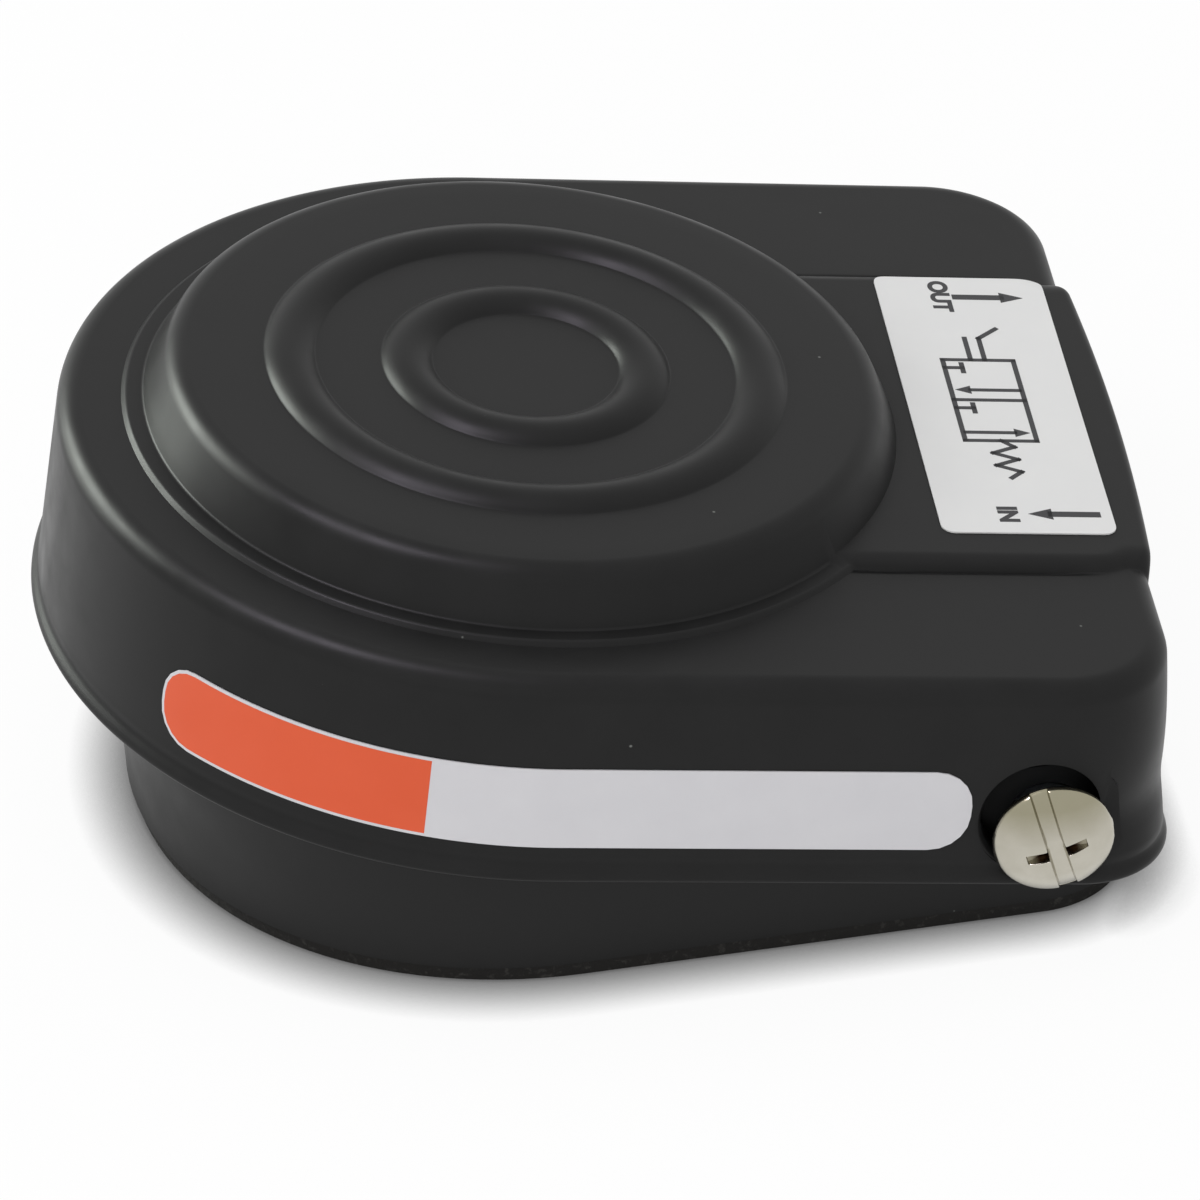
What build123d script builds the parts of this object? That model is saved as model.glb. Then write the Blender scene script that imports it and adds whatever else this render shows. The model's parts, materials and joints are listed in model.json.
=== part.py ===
from build123d import *
from math import atan2, cos, degrees, radians, sin, tan
import os

# Pneumatic foot switch: a treadle hinged over a base pan that holds a three-way air valve.
# Millimetres. +Z is up, the rounded toe end is at -Y and the hose ports at the rear are at +Y.
# The origin is on the floor, in the middle of the whole switch. Left and right are the operator's,
# so left is +X. Back distances are measured from the centre of the rounded toe end.

# Treadle outline, at the ledge that runs round the top, as room round the base
skirt_room = 3.5
rear_room = 3.1
treadle_corner = 10.6
toe_height = 34.5
treadle_tilt = 10.0
treadle_travel = 6.0

# Treadle shell
shell_wall = 2.4
lip_wall = 2.0
skirt_depth = 20.2
skirt_draft = 0.8
rear_draft = 1.8
lip_band = 1.8
lip_flare = 0.54
top_edge_round = 2.0
plateau_foot_radius = 34.0
plateau_top_radius = 31.7
plateau_height = 5.35
plateau_edge_round = 1.3
land_width = 1.5
land_height = 0.45
bead_radii = (10.7, 21.2)
bead_width = 4.6
bead_height = 1.0
strip_half_width = 23.65
strip_height = 0.9
strip_overhang = 1.5
strip_bow = 1.4
strip_drop = 12.0
strip_corner = 4.5
strip_edge_round = 0.8
hose_notch_width = 44.0
hose_notch_top = 9.0
hose_notch_round = 4.0

# Base pan and pad
pad_thickness = 1.6
pad_inset = 0.4
base_radius = 38.0
base_back = 50.3
base_corner = 9.0
base_setback = 1.4
base_draft = 0.45
base_wall = 2.4
base_floor = 2.4
base_front_height = 26.0
base_rear_height = 17.0

# Pivot joints
pivot_back = 40.25
pivot_height = 12.6
pivot_screw_radius = 2.4
pivot_screw_length = 19.05
pivot_head_radius = 5.5
pivot_head_rim = 0.5
pivot_head_height = 2.7
driver_slot_width = 1.5
driver_slot_depth = 1.2
driver_cross_span = 5.6
sleeve_radius = 3.3
sleeve_clearance = 0.1
sleeve_running_clearance = 0.06
sleeve_length = 5.1
ear_gap = 0.3
ear_thickness = 1.4
ear_half_width = 6.2
ear_reach = 5.2
ear_round = 2.6
pocket_radius = 5.15
pocket_lift = 2.7
pivot_boss_radius = 5.5
pivot_boss_depth = 8.0
lock_nut_width = 9.53
lock_nut_height = 5.9

# Air valve
valve_half_width = 19.0
valve_nose_half_width = 11.0
valve_nose_back = 7.0
valve_shoulder_back = 30.0
valve_back = 48.4
valve_height = 14.0
valve_edge_round = 0.8
port_spacing = 23.0
port_bore_radius = 4.3
port_thread_length = 10.5
port_chamfer = 0.9
passage_radius = 1.9
stem_back = 17.0
chamber_radius = 4.6
seat_bore_radius = 2.3
seat_thickness = 0.8
inlet_chamber_top = 8.0
outlet_chamber_top = 12.0
fit_clearance = 0.03
window_clearance = 0.3

# Valve stem, bonnet and seals
stem_radius = 2.0
stem_running_clearance = 0.05
stem_nose_radius = 1.5
stem_nose_length = 1.45
stem_exhaust_gap = 0.6
stem_exhaust_radius = 0.8
stem_head_radius = 4.2
stem_head_height = 1.6
stem_head_crown = 12.0
stem_top_height = 27.6
bonnet_thread_radius = 6.0
bonnet_flange_width = 14.0
bonnet_flange_height = 1.5
stem_ring_section = 1.2
bonnet_ring_section = 0.8
plug_ring_section = 1.44
clip_thickness = 0.5
clip_radius = 3.4
clip_groove_depth = 0.5
poppet_radius = 3.9
poppet_thickness = 1.2
poppet_seal_radius = 3.4
poppet_seal_thickness = 0.75
poppet_seal_gap = 0.05
plug_flange_radius = 6.0
plug_flange_height = 2.0
plug_nose_radius = 4.0
plug_nose_height = 2.0
plug_pocket_radius = 3.3
plug_floor = 1.4
plug_hex_width = 4.0
plug_hex_depth = 1.0

# Springs, as mean radius, wire and turns
stem_spring_radius = 3.0
stem_spring_wire = 0.7
stem_spring_turns = 4.5
poppet_spring_radius = 2.75
poppet_spring_wire = 0.45
poppet_spring_turns = 4.5
return_spring_radius = 5.4
return_spring_wire = 1.2
return_spring_turns = 8.0
return_spring_spacing = 15.0
return_spring_top = 36.0
spring_end_gap = 0.05
spring_post_radius = 2.5
spring_post_length = 4.5
spring_cup_wall = 1.2
spring_cup_height = 3.0
spring_cup_gap = 0.5

# Valve screws, countersunk from below
valve_screw_radius = 1.75
valve_screw_length = 9.5
valve_screw_head_radius = 3.3
valve_screw_head_height = 1.9
valve_screw_rear_spacing = 31.0
valve_screw_rear_back = 33.0
valve_screw_front_spacing = 15.0
valve_screw_front_back = 10.0
valve_tap_depth = 8.0

# Actuator button under the treadle
button_radius = 5.5
button_thickness = 1.6
button_edge_round = 0.5
button_stem_radius = 2.5
button_stem_length = 3.5
button_boss_radius = 6.5
button_gap = 0.05

# Stops
bumper_inset = 11.0
bumper_boss_radius = 6.0
bumper_boss_height = 10.0
bumper_radius = 5.0
bumper_height = 4.5
bumper_edge_round = 1.1
bumper_stem_radius = 2.5
bumper_stem_length = 6.0
stop_post_radius = 3.5
stop_gap = 0.1
up_stop_spacing = 54.0
up_stop_width = 2.0
up_stop_length = 4.0
up_stop_gap = 0.3

# Labels
label_thickness = 0.2
label_front_back = 35.5
label_width = 15.9
label_length = 41.9
label_offset = -2.2
label_corner = 1.2
decal_thickness = 0.15
decal_upper = 8.6
decal_lower = 16.7
decal_rear_back = 36.1
decal_front_arc = 37.8
decal_corner = 3.5

# How far a cutter reaches past the wall that it opens
cutter_reach = 6.0

# Worked out from the sizes above
toe_radius = base_radius + skirt_room
treadle_back = base_back + rear_room
bumper_back = bumper_inset - base_radius
return_spring_back = bumper_back + return_spring_spacing
tilt = radians(treadle_tilt)
lip_radius = toe_radius + skirt_draft + lip_flare
lip_back = treadle_back + rear_draft + lip_flare
front_reach = lip_radius * cos(tilt) + skirt_depth * sin(tilt)
rear_reach = (treadle_back + strip_overhang) * cos(tilt) + strip_height / 2 * sin(tilt)
toe_y = (front_reach - rear_reach) / 2
pivot_y = toe_y + pivot_back
stem_y = toe_y + stem_back
base_y = toe_y - base_setback
floor_top = pad_thickness + base_floor
valve_top = floor_top + valve_height
port_height = floor_top + valve_height / 2
seat_height = floor_top + inlet_chamber_top
land_top = seat_height + seat_thickness
bonnet_seat = floor_top + outlet_chamber_top
bonnet_top = valve_top + bonnet_flange_height
head_seat = base_radius + sleeve_length
treadle_place = Pos(0, toe_y, toe_height) * Rot(-treadle_tilt, 0, 0)
UPRIGHT = (Align.CENTER, Align.CENTER, Align.MIN)


def post(radius, height, x=0.0, y=0.0, z=0.0):
    """Upright round bar standing on height z."""
    return Pos(x, y, z) * Cylinder(radius, height, align=UPRIGHT)


def crossbar(radius, length, side, x, y, z):
    """Round bar that starts at distance x from the middle and runs outwards on one side."""
    return Pos(side * x, y, z) * Rot(0, side * 90, 0) * Cylinder(radius, length, align=UPRIGHT)


def drill(start, end, radius):
    """Round bar between two points, for a drilled passage."""
    reach = Vector(*end) - Vector(*start)
    plane = Plane(origin=start, z_dir=reach)
    return plane * Cylinder(radius, reach.length, align=UPRIGHT)


def outline(radius, back, corner, height=0.0):
    """Face with a round front, straight sides and two rounded rear corners."""
    side = back - corner
    inner = radius - corner
    edges = [
        CenterArc((0, 0), radius, 180, 180),
        Line((radius, 0), (radius, side)),
        CenterArc((inner, side), corner, 0, 90),
        Line((inner, back), (-inner, back)),
        CenterArc((-inner, side), corner, 90, 90),
        Line((-radius, side), (-radius, 0)),
    ]
    return Pos(0, 0, height) * make_face(edges)


def skirt_growth(depth):
    """How far the skirt's sides and rear stand outside the ledge at a depth below it."""
    share = depth / (skirt_depth - lip_band)
    return skirt_draft * share, rear_draft * share


def skirt_body(extra=0.0, top=0.0, bottom=skirt_depth - lip_band):
    """Drafted body of the skirt between two depths, grown all round by a little."""
    faces = []
    for depth in (top, bottom):
        sides, rear = skirt_growth(depth)
        corner = treadle_corner + sides + extra
        faces.append(outline(toe_radius + sides + extra, treadle_back + rear + extra, corner, -depth))
    return loft(faces, ruled=True)


def bead(radius):
    """Raised round ring with a low crowned section, standing on height 0."""
    half = bead_width / 2
    crown = ThreePointArc((radius - half, 0), (radius, bead_height), (radius + half, 0))
    root = Line((radius + half, 0), (radius - half, 0))
    section = Plane.XZ * make_face([crown, root])
    return revolve(section, Axis.Z)


def treadle_strip():
    """Raised strip behind the plateau that rolls over the rear edge, with a bowed rear and rounded corners."""
    side_back = treadle_back + strip_overhang - strip_bow
    middle_back = treadle_back + strip_overhang
    half = strip_half_width
    edges = [
        Line((-half, 0), (half, 0)),
        Line((half, 0), (half, side_back)),
        ThreePointArc((half, side_back), (0, middle_back), (-half, side_back)),
        Line((-half, side_back), (-half, 0)),
    ]
    strip = Pos(0, 0, -strip_drop) * extrude(make_face(edges), strip_height + strip_drop)
    strip = fillet(strip.edges().filter_by(Axis.Z).sort_by(Axis.Y)[-2:], strip_corner)
    top_edges = strip.faces().sort_by(Axis.Z)[-1].edges().sort_by(Axis.Y)[1:]
    return fillet(top_edges, strip_edge_round)


def treadle_outside():
    """Outer form of the treadle, solid, in its own untilted frame."""
    body = skirt_body()
    body = fillet(body.faces().sort_by(Axis.Z)[-1].edges(), top_edge_round)
    sides, rear = skirt_growth(skirt_depth - lip_band)
    upper = outline(toe_radius + sides, treadle_back + rear, treadle_corner + sides, lip_band - skirt_depth)
    lower = outline(lip_radius, lip_back, treadle_corner + sides + lip_flare, -skirt_depth)
    body += loft([upper, lower], ruled=True)
    body += treadle_strip()
    body += Cylinder(plateau_foot_radius + land_width, land_height, align=UPRIGHT)
    plateau = Cone(plateau_foot_radius, plateau_top_radius, plateau_height, align=UPRIGHT)
    body += fillet(plateau.edges().sort_by(Axis.Z)[-1], plateau_edge_round)
    for radius in bead_radii:
        body += Pos(0, 0, plateau_height) * bead(radius)
    return body


def treadle_inside():
    """Hollow under the treadle, in its own untilted frame."""
    inset_corner = treadle_corner - shell_wall
    upper = outline(toe_radius - shell_wall, treadle_back - shell_wall, inset_corner, -shell_wall)
    lower = outline(lip_radius - lip_wall, lip_back - lip_wall, inset_corner, -skirt_depth)
    hollow = loft([upper, lower], ruled=True)
    crown = Cone(plateau_foot_radius - shell_wall, plateau_top_radius - shell_wall, plateau_height, align=UPRIGHT)
    return hollow + Pos(0, 0, -shell_wall) * crown


def hose_notch():
    """Opening in the rear of the skirt through which the hoses leave, open at the lip."""
    height = skirt_depth - hose_notch_top
    block = Box(hose_notch_width, 2 * cutter_reach, 2 * height)
    block = fillet(block.edges().filter_by(Axis.Y), hose_notch_round)
    return Pos(0, lip_back - shell_wall, -skirt_depth) * block


def ceiling_height(back, under_plateau):
    """Height in the row of the shell's underside at a back distance."""
    level = plateau_height - shell_wall if under_plateau else -shell_wall
    return toe_height - back * tan(tilt) + level / cos(tilt)


def pressed_to_rest(y, z):
    """Place at rest of a point of the treadle that is given with the treadle pressed down."""
    turn = radians(treadle_travel)
    back = y - pivot_y
    rise = z - pivot_height
    return (pivot_y + back * cos(turn) + rise * sin(turn), pivot_height + rise * cos(turn) - back * sin(turn))


def treadle_posts():
    """Bosses and posts inside the treadle, long enough to reach into its upper wall."""
    margin = shell_wall / 2
    spring_y = toe_y + return_spring_back
    spring_ceiling = ceiling_height(return_spring_back, True) + margin
    spring_boss_radius = return_spring_radius + return_spring_wire
    posts = post(spring_boss_radius, spring_ceiling - return_spring_top, 0, spring_y, return_spring_top)
    post_bottom = return_spring_top - spring_post_length
    posts += post(spring_post_radius, spring_post_length, 0, spring_y, post_bottom)
    button_top = stem_top_height + button_gap + button_thickness
    button_ceiling = ceiling_height(stem_back, True) + margin
    posts += post(button_boss_radius, button_ceiling - button_top, 0, stem_y, button_top)
    bumper_top = floor_top + bumper_boss_height + bumper_height
    edge_drop = stop_post_radius * sin(radians(treadle_travel))
    stop_y, stop_z = pressed_to_rest(toe_y + bumper_back, bumper_top + stop_gap + edge_drop)
    stop_ceiling = ceiling_height(stop_y - toe_y, True) + margin
    posts += post(stop_post_radius, stop_ceiling - stop_z, 0, stop_y, stop_z)
    return posts


def button_socket():
    """Blind hole in the treadle's boss for the actuator button's stem."""
    bottom = stem_top_height + button_gap + button_thickness
    return post(button_stem_radius + fit_clearance, button_stem_length + fit_clearance, 0, stem_y, bottom)


def up_stops():
    """Two ribs at the rear that meet the base wall and hold the treadle at rest."""
    rear_y = base_y + base_back - base_draft
    middle_y = rear_y - base_wall / 2 - base_draft
    bottom = base_wall_top(middle_y - up_stop_length / 2) + up_stop_gap
    ceiling = ceiling_height(middle_y - toe_y, False) + shell_wall / 2
    ribs = []
    for side in (1, -1):
        rib = Box(up_stop_width, up_stop_length, ceiling - bottom, align=UPRIGHT)
        ribs.append(Pos(side * up_stop_spacing / 2, middle_y, bottom) * rib)
    return ribs


def pivot_ear(side):
    """Thickened ear inside the skirt, round the pivot sleeve."""
    start = base_radius + ear_gap
    reach = lip_radius - shell_wall / 2 - start
    rise = 2 * ear_reach
    ear = Box(reach, 2 * ear_half_width, rise, align=(Align.MIN, Align.CENTER, Align.CENTER))
    ear = fillet(ear.edges().filter_by(Axis.X), ear_round)
    if side < 0:
        ear = Rot(0, 0, 180) * ear
    return Pos(side * start, pivot_y, pivot_height) * ear


def treadle_cover():
    """Moulded treadle at rest: shell, posts, ears, pivot pockets and hose notch."""
    outside = treadle_outside()
    cover = treadle_place * (outside - treadle_inside())
    cover += treadle_posts()
    for rib in up_stops():
        cover += rib
    envelope = treadle_place * outside
    floor_x = base_radius + ear_gap + ear_thickness
    bore = sleeve_radius + sleeve_running_clearance
    for side in (1, -1):
        cover += pivot_ear(side) & envelope
        cover -= crossbar(pocket_radius, 2 * cutter_reach, side, floor_x, pivot_y, pivot_height + pocket_lift)
        cover -= crossbar(bore, sleeve_length + cutter_reach, side, base_radius, pivot_y, pivot_height)
    cover -= button_socket()
    return cover - treadle_place * hose_notch()


def base_wall_top(y):
    """Height of the base wall's sloping rim at a place along the switch."""
    front_y = base_y - base_radius
    rear_y = base_y + base_back
    slope = (base_front_height - base_rear_height) / (rear_y - front_y)
    return base_front_height - slope * (y - front_y)


def base_solid(inset, bottom):
    """Solid form inside the base's outline, from a height up to the highest rim."""
    top = base_front_height
    lower = outline(base_radius - inset, base_back - inset, base_corner - inset, bottom)
    high = inset + base_draft
    upper = outline(base_radius - high, base_back - high, base_corner - high, top)
    return Pos(0, base_y, 0) * loft([lower, upper], ruled=True)


def rim_cutter():
    """Block above the sloping rim of the base wall."""
    run = base_radius + base_back
    angle = degrees(atan2(base_front_height - base_rear_height, run))
    span = 2 * (run + cutter_reach)
    block = Box(span, span, base_front_height, align=UPRIGHT)
    return Pos(0, base_y - base_radius, base_front_height) * Rot(-angle, 0, 0) * block


def valve_screw_places():
    """Middles of the four valve screws."""
    places = []
    for spacing, back in (
        (valve_screw_rear_spacing, valve_screw_rear_back),
        (valve_screw_front_spacing, valve_screw_front_back),
    ):
        for side in (1, -1):
            places.append((side * spacing / 2, toe_y + back))
    return places


def base_pan():
    """Moulded base: floor, sloping wall, pivot bosses, spring cup, bumper boss and valve window."""
    pan = base_solid(0, pad_thickness) - base_solid(base_wall, floor_top)
    pan -= rim_cutter()
    window_width = 2 * (valve_half_width + window_clearance)
    window = Box(window_width, 2 * cutter_reach, base_front_height, align=UPRIGHT)
    pan -= Pos(0, base_y + base_back, floor_top) * window
    for side in (1, -1):
        boss = crossbar(pivot_boss_radius, pivot_boss_depth, side, base_radius - pivot_boss_depth,
                        pivot_y, pivot_height)
        foot = Box(pivot_boss_depth - base_wall / 2, 2 * pivot_boss_radius, pivot_height - base_floor,
                   align=(Align.MIN, Align.CENTER, Align.MIN))
        foot_x = base_radius - pivot_boss_depth
        if side < 0:
            foot = Rot(0, 0, 180) * foot
        pan += boss + Pos(side * foot_x, pivot_y, base_floor) * foot
        pan -= crossbar(pivot_screw_radius + sleeve_clearance, pivot_boss_depth + 2 * cutter_reach, side,
                        foot_x - cutter_reach, pivot_y, pivot_height)
    cup_inner = return_spring_radius + return_spring_wire / 2 + spring_cup_gap
    spring_y = toe_y + return_spring_back
    cup = post(cup_inner + spring_cup_wall, spring_cup_height, 0, spring_y, floor_top)
    pan += cup - post(cup_inner, spring_cup_height, 0, spring_y, floor_top)
    pan += post(spring_post_radius + spring_cup_gap, spring_post_length, 0, spring_y, floor_top)
    bumper_y = toe_y + bumper_back
    pan += post(bumper_boss_radius, bumper_boss_height, 0, bumper_y, floor_top)
    socket_depth = bumper_stem_length + spring_cup_gap
    socket_z = floor_top + bumper_boss_height - socket_depth
    pan -= post(bumper_stem_radius + fit_clearance, socket_depth, 0, bumper_y, socket_z)
    for x, y in valve_screw_places():
        pan -= valve_screw(x, y, fit_clearance)
    return pan


def non_slip_pad():
    """Flat rubber sheet under the base pan."""
    sheet = outline(base_radius - pad_inset, base_back - pad_inset, base_corner - pad_inset)
    return Pos(0, base_y, 0) * extrude(sheet, pad_thickness)


def pivot_screw(side):
    """Truss-head screw with a slot and a cross recess, pushed in from the side."""
    shank = Cylinder(pivot_screw_radius, pivot_screw_length, align=(Align.CENTER, Align.CENTER, Align.MAX))
    dome_height = pivot_head_height - pivot_head_rim
    dome_radius = (pivot_head_radius ** 2 + dome_height ** 2) / (2 * dome_height)
    head = Cylinder(pivot_head_radius, pivot_head_height, align=UPRIGHT)
    head &= Pos(0, 0, pivot_head_height - dome_radius) * Sphere(dome_radius)
    slot_floor = pivot_head_height - driver_slot_depth
    slot = Box(2 * pivot_head_radius, driver_slot_width, driver_slot_depth, align=UPRIGHT)
    cross = Box(driver_slot_width, driver_cross_span, driver_slot_depth, align=UPRIGHT)
    head -= Pos(0, 0, slot_floor) * (slot + cross)
    screw = head + shank
    return Pos(side * head_seat, pivot_y, pivot_height) * Rot(0, side * 90, 0) * screw


def pivot_sleeve(side):
    """Steel sleeve between the base wall and the screw's head, on which the treadle turns."""
    sleeve = crossbar(sleeve_radius, sleeve_length, side, base_radius, pivot_y, pivot_height)
    return sleeve - crossbar(pivot_screw_radius + sleeve_clearance, sleeve_length, side, base_radius,
                             pivot_y, pivot_height)


def pivot_nut(side):
    """Hexagon lock nut behind the base's pivot boss."""
    hexagon = extrude(RegularPolygon(lock_nut_width / 2, 6, major_radius=False), lock_nut_height)
    nut = hexagon - Cylinder(pivot_screw_radius + fit_clearance, lock_nut_height, align=UPRIGHT)
    start = base_radius - pivot_boss_depth - lock_nut_height
    return Pos(side * start, pivot_y, pivot_height) * Rot(0, side * 90, 0) * nut


def valve_body():
    """Ported block of the three-way valve, with its seat, chambers and passages."""
    depth = valve_back - valve_shoulder_back
    rear = Box(2 * valve_half_width, depth, valve_height, align=(Align.CENTER, Align.MIN, Align.MIN))
    nose_depth = valve_shoulder_back - valve_nose_back
    nose = Box(2 * valve_nose_half_width, nose_depth + fit_clearance, valve_height,
               align=(Align.CENTER, Align.MIN, Align.MIN))
    block = Pos(0, toe_y + valve_shoulder_back, floor_top) * rear
    block += Pos(0, toe_y + valve_nose_back, floor_top) * nose
    block = fillet(block.edges().filter_by(Axis.Z), valve_edge_round)
    rear_y = toe_y + valve_back
    port_floor = rear_y - port_thread_length
    chambers = ((1, floor_top + inlet_chamber_top - passage_radius - seat_thickness),
                (-1, land_top + passage_radius / 2))
    for side, chamber_z in chambers:
        x = side * port_spacing / 2
        block -= drill((x, rear_y, port_height), (x, port_floor, port_height), port_bore_radius)
        mouth = Plane(origin=(x, rear_y, port_height), z_dir=(0, -1, 0))
        block -= mouth * Cone(port_bore_radius + port_chamfer, port_bore_radius, port_chamfer, align=UPRIGHT)
        block -= drill((x, port_floor, port_height), (0, stem_y, chamber_z), passage_radius)
    block -= post(plug_flange_radius + fit_clearance, plug_flange_height, 0, stem_y, floor_top)
    ring_room = plug_nose_radius + plug_ring_section + 2 * fit_clearance
    block -= post(ring_room, plug_ring_section + fit_clearance, 0, stem_y, floor_top + plug_flange_height)
    block -= post(chamber_radius, inlet_chamber_top - plug_flange_height, 0, stem_y,
                  floor_top + plug_flange_height)
    block -= post(seat_bore_radius, seat_thickness, 0, stem_y, seat_height)
    block -= post(chamber_radius, bonnet_seat - land_top, 0, stem_y, land_top)
    block -= post(bonnet_thread_radius + fit_clearance, valve_top - bonnet_seat, 0, stem_y, bonnet_seat)
    ring_outside = bonnet_thread_radius + bonnet_ring_section + 2 * fit_clearance
    block -= post(ring_outside, bonnet_ring_section, 0, stem_y, valve_top - bonnet_ring_section)
    for x, y in valve_screw_places():
        block -= post(valve_screw_radius + fit_clearance, valve_tap_depth, x, y, floor_top)
    return block


def valve_bonnet():
    """Screwed bonnet that guides the stem, with a groove inside for the stem's ring."""
    body = post(bonnet_thread_radius, valve_top - bonnet_seat, 0, stem_y, bonnet_seat)
    hexagon = extrude(RegularPolygon(bonnet_flange_width / 2, 6, major_radius=False), bonnet_flange_height)
    body += Pos(0, stem_y, valve_top) * hexagon
    bore_length = bonnet_top - bonnet_seat
    body -= post(stem_radius + stem_running_clearance, bore_length, 0, stem_y, bonnet_seat)
    groove_radius = stem_radius + stem_ring_section + 2 * fit_clearance
    groove_height = stem_ring_section + 2 * fit_clearance
    groove_z = (bonnet_seat + bonnet_top - groove_height) / 2
    return body - post(groove_radius, groove_height, 0, stem_y, groove_z)


def ring_seal(inner_radius, section, middle_z):
    """Rubber ring round the stem's axis."""
    radius = section / 2
    return Pos(0, stem_y, middle_z) * Torus(inner_radius + fit_clearance + radius, radius)


def bonnet_ring():
    """Rubber ring under the bonnet's flange."""
    return ring_seal(bonnet_thread_radius, bonnet_ring_section - fit_clearance,
                     valve_top - bonnet_ring_section / 2)


def stem_ring():
    """Rubber ring in the bonnet that seals the stem."""
    return ring_seal(stem_radius, stem_ring_section, (bonnet_seat + bonnet_top) / 2)


def plug_ring():
    """Rubber ring round the bottom plug's nose."""
    middle = floor_top + plug_flange_height + plug_ring_section / 2
    return ring_seal(plug_nose_radius, plug_ring_section - fit_clearance, middle)


def clip_height():
    """Height of the underside of the stem's clip at rest."""
    return bonnet_seat - spring_end_gap - clip_thickness


def valve_stem():
    """Stem with a crowned head, a clip groove and an exhaust way through its middle."""
    tip = seat_height - poppet_seal_gap + stem_exhaust_gap
    shoulder = tip + stem_nose_length
    head_z = stem_top_height - stem_head_height
    stem = post(stem_nose_radius, stem_nose_length, 0, stem_y, tip)
    stem += post(stem_radius, head_z - shoulder, 0, stem_y, shoulder)
    head = post(stem_head_radius, stem_head_height, 0, stem_y, head_z)
    head &= Pos(0, stem_y, stem_top_height - stem_head_crown) * Sphere(stem_head_crown)
    stem += head
    groove = post(clip_radius, clip_thickness, 0, stem_y, clip_height())
    stem -= groove - post(stem_radius - clip_groove_depth, clip_thickness, 0, stem_y, clip_height())
    way_top = head_z - stem_radius
    stem -= post(stem_exhaust_radius, way_top - tip, 0, stem_y, tip)
    side_way = drill((0, stem_y, way_top - stem_exhaust_radius),
                     (0, stem_y - 2 * stem_radius, way_top - stem_exhaust_radius), stem_exhaust_radius)
    return stem - side_way


def stem_clip():
    """Snap ring in the stem's groove that stops the stem under the bonnet."""
    inner = stem_radius - clip_groove_depth + fit_clearance
    ring = post(clip_radius, clip_thickness, 0, stem_y, clip_height())
    ring -= post(inner, clip_thickness, 0, stem_y, clip_height())
    gap = Box(2 * inner, 2 * clip_radius, clip_thickness, align=(Align.CENTER, Align.MIN, Align.MIN))
    return ring - Pos(0, stem_y, clip_height()) * gap


def poppet_top():
    """Height of the poppet disc's upper face at rest."""
    return seat_height - poppet_seal_gap - poppet_seal_thickness


def poppet():
    """Metal disc that the stem pushes off the seat."""
    return post(poppet_radius, poppet_thickness, 0, stem_y, poppet_top() - poppet_thickness)


def poppet_seal():
    """Rubber facing bonded to the poppet."""
    return post(poppet_seal_radius, poppet_seal_thickness, 0, stem_y, poppet_top())


def bottom_plug():
    """Screwed plug that closes the inlet chamber and carries the poppet spring."""
    plug = post(plug_flange_radius, plug_flange_height, 0, stem_y, floor_top)
    plug += post(plug_nose_radius, plug_nose_height, 0, stem_y, floor_top + plug_flange_height)
    depth = plug_flange_height + plug_nose_height - plug_floor
    plug -= post(plug_pocket_radius, depth, 0, stem_y, floor_top + plug_floor)
    socket = extrude(RegularPolygon(plug_hex_width / 2, 6, major_radius=False), plug_hex_depth)
    return plug - Pos(0, stem_y, floor_top) * socket


def coil_spring(radius, wire, turns, y, bottom, top):
    """Round-wire coil spring standing between two heights, with a small gap at each end."""
    low = bottom + spring_end_gap + wire / 2
    high = top - spring_end_gap - wire / 2
    path = Helix(pitch=(high - low) / turns, height=high - low, radius=radius)
    section = Plane(origin=path @ 0, z_dir=path % 0) * Circle(wire / 2)
    return Pos(0, y, low) * sweep(section, path=path, is_frenet=True)


def stem_spring():
    """Spring that lifts the stem off the poppet."""
    return coil_spring(stem_spring_radius, stem_spring_wire, stem_spring_turns, stem_y, bonnet_top,
                       stem_top_height - stem_head_height)


def poppet_spring():
    """Spring that holds the poppet on its seat."""
    return coil_spring(poppet_spring_radius, poppet_spring_wire, poppet_spring_turns, stem_y,
                       floor_top + plug_floor, poppet_top() - poppet_thickness)


def return_spring():
    """Spring that lifts the treadle."""
    return coil_spring(return_spring_radius, return_spring_wire, return_spring_turns,
                       toe_y + return_spring_back, floor_top, return_spring_top)


def valve_screw(x, y, clearance=0.0):
    """Countersunk screw from below through the pan's floor into the valve body."""
    shank = post(valve_screw_radius + clearance, valve_screw_length, x, y, pad_thickness)
    head = Cone(valve_screw_head_radius + clearance, valve_screw_radius + clearance,
                valve_screw_head_height, align=UPRIGHT)
    return shank + Pos(x, y, pad_thickness) * head


def valve_screws():
    """The four alike screws that hold the valve body."""
    return Compound(children=[valve_screw(x, y) for x, y in valve_screw_places()])


def actuator_button():
    """Hard button pressed into the treadle's boss, which pushes the stem."""
    bottom = stem_top_height + button_gap
    button = post(button_radius, button_thickness, 0, stem_y, bottom)
    button = fillet(button.edges().sort_by(Axis.Z)[0], button_edge_round)
    return button + post(button_stem_radius, button_stem_length, 0, stem_y, bottom + button_thickness)


def stop_bumper():
    """Rubber bumper that ends the treadle's travel."""
    y = toe_y + bumper_back
    seat = floor_top + bumper_boss_height
    cap = post(bumper_radius, bumper_height, 0, y, seat)
    cap = fillet(cap.edges().sort_by(Axis.Z)[-1], bumper_edge_round)
    return cap + post(bumper_stem_radius, bumper_stem_length, 0, y, seat - bumper_stem_length)


def top_label():
    """Thin rectangular label on the raised strip."""
    sheet = RectangleRounded(label_length, label_width, label_corner)
    sheet = extrude(sheet, label_thickness)
    middle = label_front_back + label_width / 2
    return treadle_place * Pos(label_offset, middle, strip_height) * sheet


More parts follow.
